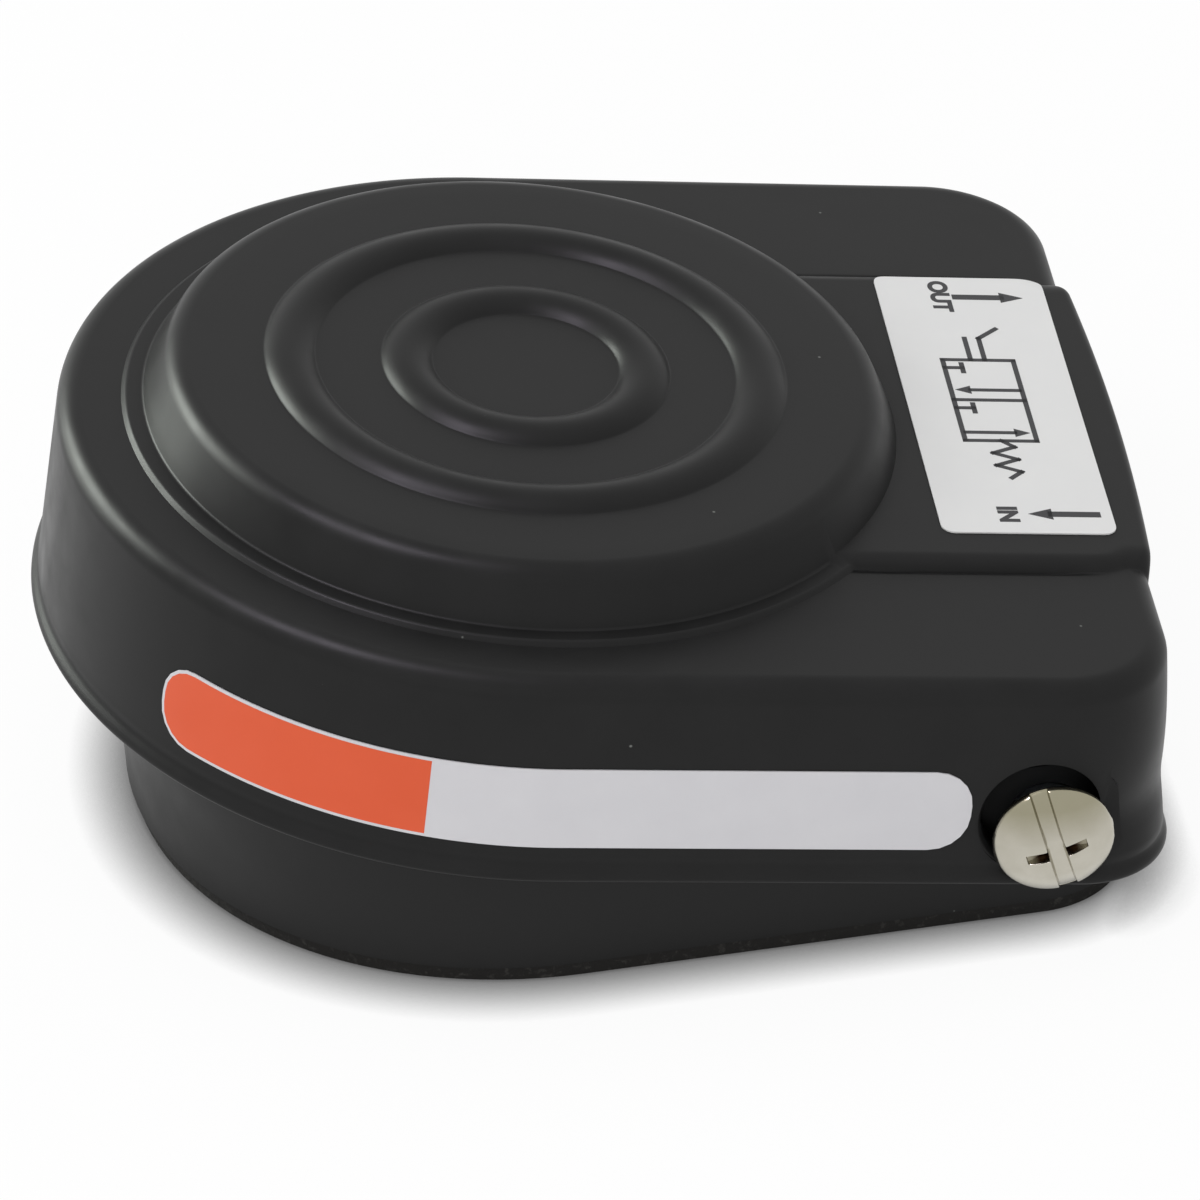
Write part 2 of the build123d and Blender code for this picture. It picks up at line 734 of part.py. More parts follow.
def decal_region():
    """Upright block over the decal: round the toe end, along the left side, with rounded ends."""
    height = decal_lower - decal_upper
    reach = 2 * toe_radius
    middle = -(decal_upper + decal_lower) / 2
    turn = (decal_front_arc - decal_corner) / toe_radius
    corners = [(0, 0), (reach * cos(turn), -reach * sin(turn)), (reach, 0),
               (reach, decal_rear_back - decal_corner), (0, decal_rear_back - decal_corner), (0, 0)]
    region = Pos(0, 0, middle - height / 2) * extrude(make_face(Polyline(*corners)), height)
    end = Box(reach, 2 * decal_corner, height, align=(Align.MIN, Align.CENTER, Align.CENTER))
    end = fillet(end.edges().filter_by(Axis.X), decal_corner - fit_clearance)
    region += Pos(0, decal_rear_back - decal_corner, middle) * end
    region += Pos(0, 0, middle) * Rot(0, 0, -degrees(turn)) * end
    return region


def side_decal():
    """Thin film wrapped on the left side of the skirt."""
    lower = decal_lower + decal_thickness
    film = skirt_body(decal_thickness, decal_upper - decal_thickness, lower)
    film -= skirt_body(0, decal_upper - 2 * decal_thickness, lower + decal_thickness)
    return treadle_place * (film & decal_region())


parts = {
    "treadle_cover": treadle_cover(),
    "base_pan": base_pan(),
    "non_slip_pad": non_slip_pad(),
    "valve_body": valve_body(),
    "valve_bonnet": valve_bonnet(),
    "bonnet_ring": bonnet_ring(),
    "stem_ring": stem_ring(),
    "plug_ring": plug_ring(),
    "valve_stem": valve_stem(),
    "stem_clip": stem_clip(),
    "stem_spring": stem_spring(),
    "poppet": poppet(),
    "poppet_seal": poppet_seal(),
    "poppet_spring": poppet_spring(),
    "bottom_plug": bottom_plug(),
    "return_spring": return_spring(),
    "valve_screws": valve_screws(),
    "actuator_button": actuator_button(),
    "stop_bumper": stop_bumper(),
    "top_label": top_label(),
    "side_decal": side_decal(),
}
for side_name, side_sign in (("left", 1), ("right", -1)):
    parts["pivot_screw_" + side_name] = pivot_screw(side_sign)
    parts["pivot_sleeve_" + side_name] = pivot_sleeve(side_sign)
    parts["pivot_nut_" + side_name] = pivot_nut(side_sign)

os.makedirs("parts", exist_ok=True)
for name, shape in parts.items():
    export_step(shape, "parts/" + name + ".step")
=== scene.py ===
"""Looks of a pneumatic foot switch: a black moulded treadle over a base pan that holds an air valve.

Sizes in the classes are millimetres. The treadle's own frame has u to the left side, v to the rear
and w up from the ledge, and it is tilted down to the rear in the row frame.
"""
import json
import logging
import math
from dataclasses import dataclass, field
from enum import Enum
from typing import Any, Iterable, Optional, Sequence

import bpy
import numpy as np
from mathutils import Matrix, Vector


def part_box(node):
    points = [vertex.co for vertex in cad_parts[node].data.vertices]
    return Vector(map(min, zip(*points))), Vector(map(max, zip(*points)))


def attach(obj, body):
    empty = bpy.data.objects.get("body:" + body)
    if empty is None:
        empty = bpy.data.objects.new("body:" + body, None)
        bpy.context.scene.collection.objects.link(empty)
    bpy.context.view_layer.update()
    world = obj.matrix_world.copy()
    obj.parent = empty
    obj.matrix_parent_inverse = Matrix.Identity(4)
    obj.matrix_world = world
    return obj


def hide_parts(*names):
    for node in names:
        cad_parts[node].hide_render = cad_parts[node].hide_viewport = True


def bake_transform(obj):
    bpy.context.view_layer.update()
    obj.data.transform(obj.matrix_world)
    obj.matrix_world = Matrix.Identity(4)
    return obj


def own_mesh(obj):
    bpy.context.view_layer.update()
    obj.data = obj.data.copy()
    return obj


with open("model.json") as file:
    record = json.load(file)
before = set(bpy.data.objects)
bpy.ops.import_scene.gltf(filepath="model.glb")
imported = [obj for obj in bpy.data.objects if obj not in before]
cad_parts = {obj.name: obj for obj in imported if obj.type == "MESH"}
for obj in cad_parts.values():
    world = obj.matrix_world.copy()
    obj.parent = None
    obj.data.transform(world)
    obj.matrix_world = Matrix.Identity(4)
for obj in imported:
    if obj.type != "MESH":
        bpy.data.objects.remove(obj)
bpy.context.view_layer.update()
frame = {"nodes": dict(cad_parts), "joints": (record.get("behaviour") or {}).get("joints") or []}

Shape = tuple[np.ndarray, list[list[int]]]

MM = 0.001
CAPITAL_SHARE = 0.73
LOG = logging.getLogger("foot_switch")


def srgb(code: str) -> tuple[float, float, float, float]:
    """Turn an sRGB hex value into linear colour.

    Args:
        code: Hex value such as #2b2b2b.

    Returns:
        Red, green, blue and alpha, each from 0 to 1.
    """
    parts = [int(code[i:i + 2], 16) / 255 for i in (1, 3, 5)]
    linear = [c / 12.92 if c <= 0.04045 else ((c + 0.055) / 1.055) ** 2.4 for c in parts]
    return (*linear, 1.0)


def add_node(tree: bpy.types.NodeTree, kind: str, inputs: Optional[dict[Any, Any]] = None,
             **settings: Any) -> bpy.types.Node:
    """Add a node with its settings and its inputs.

    Args:
        tree: Node tree that takes the node.
        kind: Blender's name for the node.
        inputs: Input names or indices, each with a value or another node's output.
        settings: Attributes of the node.

    Returns:
        The new node.
    """
    node = tree.nodes.new(kind)
    for name, value in settings.items():
        setattr(node, name, value)
    for name, value in (inputs or {}).items():
        if isinstance(value, bpy.types.NodeSocket):
            tree.links.new(value, node.inputs[name])
        else:
            node.inputs[name].default_value = value
    return node


def smooth_step(x: np.ndarray, low: float, high: float) -> np.ndarray:
    """Rise from 0 at low to 1 at high along a cubic with level ends."""
    t = np.clip((x - low) / (high - low), 0.0, 1.0)
    return t * t * (3 - 2 * t)


def smooth_max(a: np.ndarray, b: np.ndarray, width: float) -> np.ndarray:
    """Larger of two heights, with the crease between them rounded over a width."""
    share = np.clip(0.5 + 0.5 * (a - b) / width, 0.0, 1.0)
    return b + (a - b) * share + width * share * (1 - share)


def rounded_path(corners: Sequence[tuple[float, float]], radii: Sequence[float], steps: int) -> np.ndarray:
    """Straight runs in a plane, joined by arcs at the corners.

    Each arc touches both of its runs: it starts and ends at radius times the tangent of half the turn
    from the corner, and its points are even in angle.

    Args:
        corners: Points of the path, ends included.
        radii: One radius for each corner between the ends.
        steps: Intervals along each arc.

    Returns:
        Points of the path, one row each.
    """
    points = np.asarray(corners, float)
    out = [points[:1]]
    for before, corner, after, radius in zip(points, points[1:], points[2:], radii):
        a = (before - corner) / np.linalg.norm(before - corner)
        b = (after - corner) / np.linalg.norm(after - corner)
        half = math.acos(np.clip(a @ b, -1, 1)) / 2
        middle = corner + (a + b) / np.linalg.norm(a + b) * radius / math.sin(half)
        turn = math.pi / 2 - half
        axis = (corner - middle) / np.linalg.norm(corner - middle)
        across = a - (a @ axis) * axis
        across = across / np.linalg.norm(across)
        angles = np.linspace(turn, -turn, steps + 1)[:, None]
        out.append(middle + radius * (np.cos(angles) * axis + np.sin(angles) * across))
    out.append(points[-1:])
    return np.concatenate(out)


def new_piece(name: str, vertices: np.ndarray, faces: list[list[int]],
              sharp: float = 32.0) -> bpy.types.Object:
    """Make a mesh object in the scene, smooth but for its sharp edges.

    Args:
        name: Name of the piece.
        vertices: Points in millimetres in the row frame, one row each.
        faces: Vertex numbers of each face.
        sharp: Angle in degrees above which an edge stays sharp.

    Returns:
        The object, at the origin, with its place in its mesh.
    """
    mesh = bpy.data.meshes.new(name)
    mesh.from_pydata((np.asarray(vertices, float) * MM).tolist(), [], faces)
    mesh.validate()
    mesh.shade_smooth()
    mesh.set_sharp_from_angle(angle=math.radians(sharp))
    piece = bpy.data.objects.new(name, mesh)
    bpy.context.scene.collection.objects.link(piece)
    return piece


def grid_faces(rows: int, columns: int, wrap: bool, start: int = 0) -> list[list[int]]:
    """Quads of a grid that is numbered row by row.

    Args:
        rows: Number of rows.
        columns: Number of columns.
        wrap: Whether the last column joins the first.
        start: Number of the grid's first vertex.

    Returns:
        Four vertex numbers for each quad, facing along row direction times column direction.
    """
    number = np.arange(rows * columns).reshape(rows, columns) + start
    ahead = np.roll(number, -1, axis=1)
    if not wrap:
        number, ahead = number[:, :-1], ahead[:, :-1]
    quads = np.stack([number[:-1], number[1:], ahead[1:], ahead[:-1]], axis=-1)
    return quads.reshape(-1, 4).tolist()


def closed_surface(name: str, rows: np.ndarray, first: np.ndarray, last: np.ndarray,
                   sharp: float = 32.0) -> bpy.types.Object:
    """Closed surface from rings of points between two poles.

    Args:
        name: Name of the piece.
        rows: Rings, as an array of ring, column and coordinate.
        first: Pole before the first ring.
        last: Pole after the last ring.
        sharp: Angle in degrees above which an edge stays sharp.

    Returns:
        The object.
    """
    count, columns = rows.shape[:2]
    vertices = np.concatenate([rows.reshape(-1, 3), first[None], last[None]])
    ring = np.arange(columns)
    ahead = np.roll(ring, -1)
    pole = np.full(columns, count * columns)
    end = ring + (count - 1) * columns
    end_ahead = ahead + (count - 1) * columns
    caps = np.concatenate([np.stack([pole, ring, ahead], 1), np.stack([end, pole + 1, end_ahead], 1)])
    return new_piece(name, vertices, grid_faces(count, columns, True) + caps.tolist(), sharp)


def lathe_rows(profile: np.ndarray, columns: int) -> np.ndarray:
    """Rings of a turned shape about the third axis: radius and height at each step of a profile."""
    angles = np.linspace(0, 2 * math.pi, columns, endpoint=False)
    around = np.stack([np.cos(angles), np.sin(angles)], -1)
    flat = profile[:, None, :1] * around[None]
    height = np.broadcast_to(profile[:, None, 1:], flat.shape[:2] + (1,))
    return np.concatenate([flat, height], -1)


def prism(outline: np.ndarray, low: float, high: float) -> Shape:
    """Straight block between two heights over a flat outline that runs anticlockwise.

    Args:
        outline: Points in a plane, one row each.
        low: Height of the lower face.
        high: Height of the upper face.

    Returns:
        Vertices and faces.
    """
    count = len(outline)
    top = np.column_stack([outline, np.full(count, high)])
    bottom = np.column_stack([outline, np.full(count, low)])
    faces = grid_faces(2, count, True) + [list(range(count)), list(range(2 * count - 1, count - 1, -1))]
    return np.concatenate([top, bottom]), faces


def circle(radius: float, columns: int) -> np.ndarray:
    """Even points round a circle about the origin."""
    angles = np.linspace(0, 2 * math.pi, columns, endpoint=False)
    return radius * np.stack([np.cos(angles), np.sin(angles)], -1)


def turned(profile: Sequence[tuple[float, float]], columns: int = 64) -> Shape:
    """Closed turned shape about the third axis.

    Args:
        profile: Radius and height at each corner, from the lower pole's side to the upper pole's side,
            neither on the axis.
        columns: Points round each ring.

    Returns:
        Vertices and faces.
    """
    corners = np.asarray(profile, float)
    rings = lathe_rows(corners, columns)
    count = len(corners)
    lower = np.array([[0.0, 0.0, corners[0, 1]]])
    upper = np.array([[0.0, 0.0, corners[-1, 1]]])
    walls = [face[::-1] for face in grid_faces(count, columns, True)]
    ring = np.arange(columns)
    ahead = np.roll(ring, -1)
    pole = np.full(columns, count * columns)
    last = (count - 1) * columns
    caps = [np.stack([pole, ahead, ring], 1), np.stack([pole + 1, ring + last, ahead + last], 1)]
    return np.concatenate([rings.reshape(-1, 3), lower, upper]), walls + np.concatenate(caps).tolist()


def closed_patch(top: np.ndarray, bottom: np.ndarray) -> Shape:
    """Closed sheet between two grids of the same size.

    Args:
        top: Points as row, column and coordinate; row direction times column direction faces out.
        bottom: Points under the top's.

    Returns:
        Vertices and faces, with a wall all round.
    """
    rows, columns = top.shape[:2]
    below = rows * columns
    number = np.arange(below).reshape(rows, columns)
    loop = np.concatenate([number[:, 0], number[-1, 1:], number[-2::-1, -1], number[0, -2:0:-1]])
    ahead = np.roll(loop, -1)
    walls = np.stack([loop, loop + below, ahead + below, ahead], 1).tolist()
    under = [face[::-1] for face in grid_faces(rows, columns, False, below)]
    vertices = np.concatenate([top.reshape(-1, 3), bottom.reshape(-1, 3)])
    return vertices, grid_faces(rows, columns, False) + under + walls


def stations(end: float, edges: Sequence[float], spacing: float, fine: float) -> np.ndarray:
    """Grid lines from minus an end to the end, even but for four close pairs round each edge."""
    count = int(round(2 * end / spacing)) + 1
    close = np.array([-4, -2, -1, -0.4, 0.4, 1, 2, 4]) * fine
    near = np.asarray(edges, float)[:, None] + close
    lines = np.concatenate([np.linspace(-end, end, count), near.ravel()])
    return np.unique(np.round(lines[np.abs(lines) <= end], 5))


def rounded_box(width: float, height: float, radius: float, steps: int = 6) -> np.ndarray:
    """Outline of a rectangle about the origin with arcs at its corners, anticlockwise."""
    angles = np.linspace(0, math.pi / 2, steps + 1)
    arc = radius * np.stack([np.cos(angles), np.sin(angles)], -1)
    corner = np.array([width / 2 - radius, height / 2 - radius])
    first = arc + corner
    second = arc[::-1] * (-1, 1) + corner * (-1, 1)
    return np.concatenate([first, second, -first, -second])


def sideways(vertices: np.ndarray, side: int, y: float, z: float) -> np.ndarray:
    """Turn a shape whose third axis is up so that it points outwards on one side, at a place."""
    a, b, along = vertices.T
    return np.column_stack([side * along, y + side * a, z + b])


def joined(parts: Iterable[Shape]) -> Shape:
    """Vertices and faces of several shapes in one list."""
    vertices: list[np.ndarray] = []
    faces: list[list[int]] = []
    start = 0
    for points, polygons in parts:
        vertices.append(points)
        faces += [[n + start for n in polygon] for polygon in polygons]
        start += len(points)
    return np.concatenate(vertices), faces


class Cut(Enum):
    """What a tool shape does to a piece."""

    ADD = "UNION"
    TAKE = "DIFFERENCE"


def combine(piece: bpy.types.Object, tool: Shape, cut: Cut,
            sharp: float = 32.0) -> None:
    """Add a closed shape to a piece, or take it away.

    Args:
        piece: Piece that changes.
        tool: Vertices and faces of the closed shape, in millimetres.
        cut: What is done.
        sharp: Angle in degrees above which an edge stays sharp.
    """
    helper = new_piece("cutting_tool", *tool)
    modifier = piece.modifiers.new("cut", "BOOLEAN")
    modifier.operation = cut.value
    modifier.solver = "EXACT"
    modifier.object = helper
    graph = bpy.context.evaluated_depsgraph_get()
    mesh = bpy.data.meshes.new_from_object(piece.evaluated_get(graph))
    piece.modifiers.clear()
    piece.data = mesh
    mesh.name = piece.name
    mesh.shade_smooth()
    mesh.set_sharp_from_angle(angle=math.radians(sharp))
    bpy.data.objects.remove(helper)


def lettering(text: str, height: float, boldness: float, thickness: float) -> Shape:
    """Flat letters with a thickness, in the plane of the first two axes, centred on the origin.

    Args:
        text: What they say.
        height: Height of a capital letter.
        boldness: Growth of the strokes on each side, as a share of the height.
        thickness: Thickness, half of it on each side of the plane.

    Returns:
        Vertices and faces.
    """
    curve = bpy.data.curves.new("letters", "FONT")
    curve.body, curve.size = text, height / CAPITAL_SHARE
    curve.align_x, curve.align_y = "CENTER", "CENTER"
    curve.extrude, curve.offset = thickness / 2, boldness * height
    curve.resolution_u = 6
    holder = bpy.data.objects.new("letters", curve)
    bpy.context.scene.collection.objects.link(holder)
    graph = bpy.context.evaluated_depsgraph_get()
    mesh = bpy.data.meshes.new_from_object(holder.evaluated_get(graph))
    points = np.zeros(len(mesh.vertices) * 3, np.float32)
    mesh.vertices.foreach_get("co", points)
    faces = [list(face.vertices) for face in mesh.polygons]
    bpy.data.objects.remove(holder)
    bpy.data.curves.remove(curve)
    bpy.data.meshes.remove(mesh)
    return points.reshape(-1, 3).astype(float), faces


def stroke(start: tuple[float, float], end: tuple[float, float], width: float) -> np.ndarray:
    """Outline of a straight bar of ink, anticlockwise, with its ends half a width past both points."""
    a, b = np.asarray(start, float), np.asarray(end, float)
    along = (b - a) / np.linalg.norm(b - a) * width / 2
    across = np.array([-along[1], along[0]])
    return np.array([a - along - across, b + along - across, b + along + across, a - along + across])


def dress(piece: bpy.types.Object, material: bpy.types.Material) -> None:
    """Give a piece one material all over."""
    piece.data.materials.clear()
    piece.data.materials.append(material)


def place(piece: bpy.types.Object, body: str, replaced: Sequence[str] = ()) -> None:
    """Let a piece ride on a body and stand for CAD nodes, which it hides."""
    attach(piece, body)
    if replaced:
        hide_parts(*replaced)
    LOG.info("%s: %d faces on %s", piece.name, len(piece.data.polygons), body)


@dataclass(frozen=True)
class Finish:
    """Surface finish that reads Object coordinates in metres.

    The grain is a fine bump, the mottle a slow change of colour and gloss.
    """

    name: str
    colour: str
    tint: str
    roughness: float
    roughness_spread: float = 0.06
    metallic: float = 0.0
    ior: float = 1.5
    specular: float = 0.5
    grain: float = 0.3
    grain_depth: float = 0.004
    mottle: float = 6.0

    def pattern(self, tree: bpy.types.NodeTree, point: bpy.types.NodeSocket,
                colour: bpy.types.NodeSocket) -> bpy.types.NodeSocket:
        """Colour after the finish's own marks: none on a plain finish."""
        return colour

    def relief(self, tree: bpy.types.NodeTree, point: bpy.types.NodeSocket) -> bpy.types.NodeSocket:
        """Height of the fine grain, from 0 to 1."""
        return self.noise(tree, point, self.grain, 3.0)

    def noise(self, tree: bpy.types.NodeTree, point: bpy.types.NodeSocket, scale: float,
              detail: float) -> bpy.types.NodeSocket:
        """Noise from 0 to 1 whose marks are about a scale in millimetres across."""
        node = add_node(tree, "ShaderNodeTexNoise", {"Vector": point, "Scale": 1 / (scale * MM),
                                                     "Detail": detail, "Roughness": 0.6})
        return node.outputs["Fac"]

    def spots(self, tree: bpy.types.NodeTree, point: bpy.types.NodeSocket, spacing: float, size: float,
              share: float) -> bpy.types.NodeSocket:
        """Round spots, 1 inside and 0 outside, in a share of cells that are a spacing across."""
        cells = add_node(tree, "ShaderNodeTexVoronoi", {"Vector": point, "Scale": 1 / (spacing * MM)})
        near = add_node(tree, "ShaderNodeMapRange", {
            "Value": cells.outputs["Distance"],
            "From Min": size / spacing,
            "From Max": 0.5 * size / spacing,
        })
        chosen = add_node(tree, "ShaderNodeMath", {0: cells.outputs["Color"], 1: share},
                          operation="LESS_THAN")
        both = add_node(tree, "ShaderNodeMath", {0: near.outputs["Result"], 1: chosen.outputs[0]},
                        operation="MULTIPLY")
        return both.outputs[0]

    def mixed(self, tree: bpy.types.NodeTree, factor: bpy.types.NodeSocket, colour: bpy.types.NodeSocket,
              other: str) -> bpy.types.NodeSocket:
        """Colour that turns to another where a factor is 1."""
        mix = add_node(tree, "ShaderNodeMix", data_type="RGBA")
        tree.links.new(factor, mix.inputs["Factor"])
        tree.links.new(colour, mix.inputs[6])
        mix.inputs[7].default_value = srgb(other)
        return mix.outputs[2]

    def material(self) -> bpy.types.Material:
        """Make the finish's material.

        Returns:
            A material whose colour, gloss and bump come from procedural noise.
        """
        material = bpy.data.materials.new(self.name)
        material.use_nodes = True
        tree = material.node_tree
        shader = tree.nodes["Principled BSDF"]
        point = add_node(tree, "ShaderNodeTexCoord").outputs["Object"]
        slow = add_node(tree, "ShaderNodeTexNoise", {"Vector": point, "Scale": 1 / (self.mottle * MM),
                                                     "Detail": 4.0, "Roughness": 0.55})
        plain = add_node(tree, "ShaderNodeRGB")
        plain.outputs[0].default_value = srgb(self.colour)
        mottled = self.mixed(tree, slow.outputs["Fac"], plain.outputs[0], self.tint)
        colour = self.pattern(tree, point, mottled)
        low = self.roughness - self.roughness_spread
        high = self.roughness + self.roughness_spread
        gloss = add_node(tree, "ShaderNodeMapRange", {"Value": slow.outputs["Fac"], "From Min": 0.3,
                                                      "From Max": 0.7, "To Min": low, "To Max": high})
        bump = add_node(tree, "ShaderNodeBump", {"Height": self.relief(tree, point), "Strength": 1.0,
                                                 "Distance": self.grain_depth * MM})
        tree.links.new(colour, shader.inputs["Base Color"])
        tree.links.new(gloss.outputs["Result"], shader.inputs["Roughness"])
        tree.links.new(bump.outputs["Normal"], shader.inputs["Normal"])
        shader.inputs["Metallic"].default_value = self.metallic
        shader.inputs["Specular IOR Level"].default_value = self.specular
        shader.inputs["IOR"].default_value = self.ior
        return material


@dataclass(frozen=True)
class DustyPlasticWithPaintedShade(Finish):
    """Matt moulded plastic: fine texture, painted shade in inner corners from an ambient occlusion node, and
    a few specks of dust.
    """

    # Colour of the painted shade in corners, creases and recesses.
    painted_shade: str = "#050505"
    corner_reach: float = 2.4
    dust: str = "#6e706d"
    spacing: float = 4.5
    speck: float = 0.16
    share: float = 0.3

    def pattern(self, tree: bpy.types.NodeTree, point: bpy.types.NodeSocket,
                colour: bpy.types.NodeSocket) -> bpy.types.NodeSocket:
        """Plastic's colour, painted darker as shade where other surfaces are near, and the dust on it."""
        # Painted shade: ambient occlusion darkens the colour where other surfaces are near, where shade
        # falls.
        nearby = add_node(tree, "ShaderNodeAmbientOcclusion", {"Distance": self.corner_reach * MM},
                          samples=8)
        deep = add_node(tree, "ShaderNodeMapRange", {"Value": nearby.outputs["AO"], "From Min": 0.9,
                                                     "From Max": 0.45})
        colour = self.mixed(tree, deep.outputs["Result"], colour, self.painted_shade)
        specks = self.spots(tree, point, self.spacing, self.speck, self.share)
        return self.mixed(tree, specks, colour, self.dust)


@dataclass(frozen=True)
class SheetRubber(Finish):
    """Dull rubber with open pits and a pale bloom in places."""

    bloom: str = "#4c4b49"
    pit: float = 0.7

    def pattern(self, tree: bpy.types.NodeTree, point: bpy.types.NodeSocket,
                colour: bpy.types.NodeSocket) -> bpy.types.NodeSocket:
        """Rubber's colour, paler on the grains of its torn skin."""
        grains = add_node(tree, "ShaderNodeMapRange", {
            "Value": self.noise(tree, point, self.pit, 4.0), "From Min": 0.56, "From Max": 0.7})
        return self.mixed(tree, grains.outputs["Result"], colour, self.bloom)

    def relief(self, tree: bpy.types.NodeTree, point: bpy.types.NodeSocket) -> bpy.types.NodeSocket:
        """Coarse torn grain with deep pits."""
        return self.noise(tree, point, self.pit, 5.0)


@dataclass(frozen=True)
class MachinedMetal(Finish):
    """Metal with fine tool marks across the object's height."""

    mark: float = 0.25

    def relief(self, tree: bpy.types.NodeTree, point: bpy.types.NodeSocket) -> bpy.types.NodeSocket:
        """Tool marks: noise drawn out twelve times along the flat directions."""
        stretched = add_node(tree, "ShaderNodeMapping", {"Vector": point, "Scale": (0.08, 0.08, 1.0)})
        return self.noise(tree, stretched.outputs["Vector"], self.mark, 4.0)


@dataclass(frozen=True)
class RecessedPlate(Finish):
    """Nickel plate whose driver recess, below a distance from the middle of the switch, is painted dark as
    shade, and whose upper part is painted olive and darker as a reflection.
    """

    # Colour of the painted shade in the driver recess.
    recess_shade: str = "#4a3426"
    depth: tuple[float, float] = (44.6, 44.8)
    axis: tuple[float, float] = (36.0, 12.6)
    reach: float = 3.0
    # Colour and height band of the painted reflection on the head's upper part.
    painted_reflection: str = "#8d8870"
    painted_reflection_band: tuple[float, float] = (13.4, 16.4)

    def pattern(self, tree: bpy.types.NodeTree, point: bpy.types.NodeSocket,
                colour: bpy.types.NodeSocket) -> bpy.types.NodeSocket:
        """Plate's colour, painted olive and darker towards the top as a reflection, with painted shade in the
        recess.
        """
        axes = add_node(tree, "ShaderNodeSeparateXYZ", {"Vector": point})
        distance = add_node(tree, "ShaderNodeMath", {0: axes.outputs["X"]}, operation="ABSOLUTE")
        low, high = self.depth
        deep = add_node(tree, "ShaderNodeMapRange", {"Value": distance.outputs[0], "From Min": high * MM,
                                                     "From Max": low * MM})
        y, z = self.axis
        flat = add_node(tree, "ShaderNodeCombineXYZ", {"Y": axes.outputs["Y"], "Z": axes.outputs["Z"]})
        offset = add_node(tree, "ShaderNodeVectorMath", {0: flat.outputs[0], 1: (0, y * MM, z * MM)},
                          operation="DISTANCE")
        near = add_node(tree, "ShaderNodeMath", {0: offset.outputs["Value"], 1: self.reach * MM},
                        operation="LESS_THAN")
        dark = add_node(tree, "ShaderNodeMath", {0: deep.outputs["Result"], 1: near.outputs[0]},
                        operation="MULTIPLY")
        start, full = self.painted_reflection_band
        upper = add_node(tree, "ShaderNodeMapRange", {"Value": axes.outputs["Z"], "From Min": start * MM,
                                                      "From Max": full * MM, "To Max": 0.8})
        # Painted reflection: the head turns olive and darker towards its top.
        colour = self.mixed(tree, upper.outputs["Result"], colour, self.painted_reflection)
        # Painted shade: the driver recess near the screw's axis is coloured dark brown.
        return self.mixed(tree, dark.outputs[0], colour, self.recess_shade)


@dataclass
class Outline:
    """Columns that run once round the treadle, shared by its round and its straight outlines.

    The right half runs from the toe tip along the round front, the straight side, the rear corner and
    the rear edge to the middle, and the left half mirrors it. Columns that cross the raised strip keep
    one distance from the middle, so that the strip's edges lie along columns.
    """

    strip_edge: tuple[float, float] = (24.6, 18.4)
    ring: float = 35.9
    front_steps: int = 80
    side_steps: int = 26
    corner_steps: int = 28
    rear_steps: int = 8
    edge_steps: int = 40
    strip_steps: int = 16

    def __post_init__(self) -> None:
        """Work out the fractions and angles of the right half's columns."""
        self.front = np.linspace(-math.pi / 2, 0, self.front_steps, endpoint=False)
        self.side = np.linspace(0, 1, self.side_steps, endpoint=False)
        self.corner = np.linspace(0, math.pi / 2, self.corner_steps, endpoint=False)
        self.rear = np.linspace(0, 1, self.rear_steps, endpoint=False)
        outer, inner = self.strip_edge
        edge = np.linspace(outer, inner, self.edge_steps, endpoint=False)
        self.strip = np.concatenate([edge, np.linspace(inner, 0, self.strip_steps + 1)])

    def mirror(self, half: np.ndarray) -> np.ndarray:
        """Whole loop from the right half's points, with the left half as its mirror image."""
        left = half[-2:0:-1] * (-1, 1)
        return np.concatenate([half, left])

    def around(self, radius: float, back: float, corner: float) -> np.ndarray:
        """Points of one outline.

        Args:
            radius: Radius of the round front, and half the width.
            back: Distance from the toe centre to the rear edge.
            corner: Radius of the rear corners.

        Returns:
            One point in the treadle's plane for each column.
        """
        inner = radius - corner
        front = radius * np.stack([np.cos(self.front), np.sin(self.front)], -1)
        side = np.stack([np.full(self.side_steps, radius), self.side * (back - corner)], -1)
        arc = corner * np.stack([np.cos(self.corner), np.sin(self.corner)], -1) + (inner, back - corner)
        rear = np.stack([inner + (self.strip[0] - inner) * self.rear, np.full(self.rear_steps, back)], -1)
        strip = np.stack([self.strip, np.full(len(self.strip), back)], -1)
        return self.mirror(np.concatenate([front, side, arc, rear, strip]))

    def rays(self, radius: float, back: float, corner: float) -> np.ndarray:
        """Directions from the toe centre, one for each column.

        The straight columns of the strip meet the ring circle at their own distance from the middle. The
        side and corner columns share the angle that is left, by their length along the outline.

        Args:
            radius: Radius of the ledge's round front.
            back: Distance from the toe centre to the rear edge.
            corner: Radius of the rear corners.

        Returns:
            Unit vectors, one row each.
        """
        straight = np.arccos(self.strip / self.ring)
        lengths = [self.side * (back - corner),
                   (back - corner) + corner * self.corner]
        rear_start = (back - corner) + corner * math.pi / 2
        run = (radius - corner) - self.strip[0]
        lengths.append(rear_start + run * self.rear)
        shared = np.concatenate(lengths) / (rear_start + run) * straight[0]
        angles = np.concatenate([self.front, shared, straight])
        return self.mirror(np.stack([np.cos(angles), np.sin(angles)], -1))


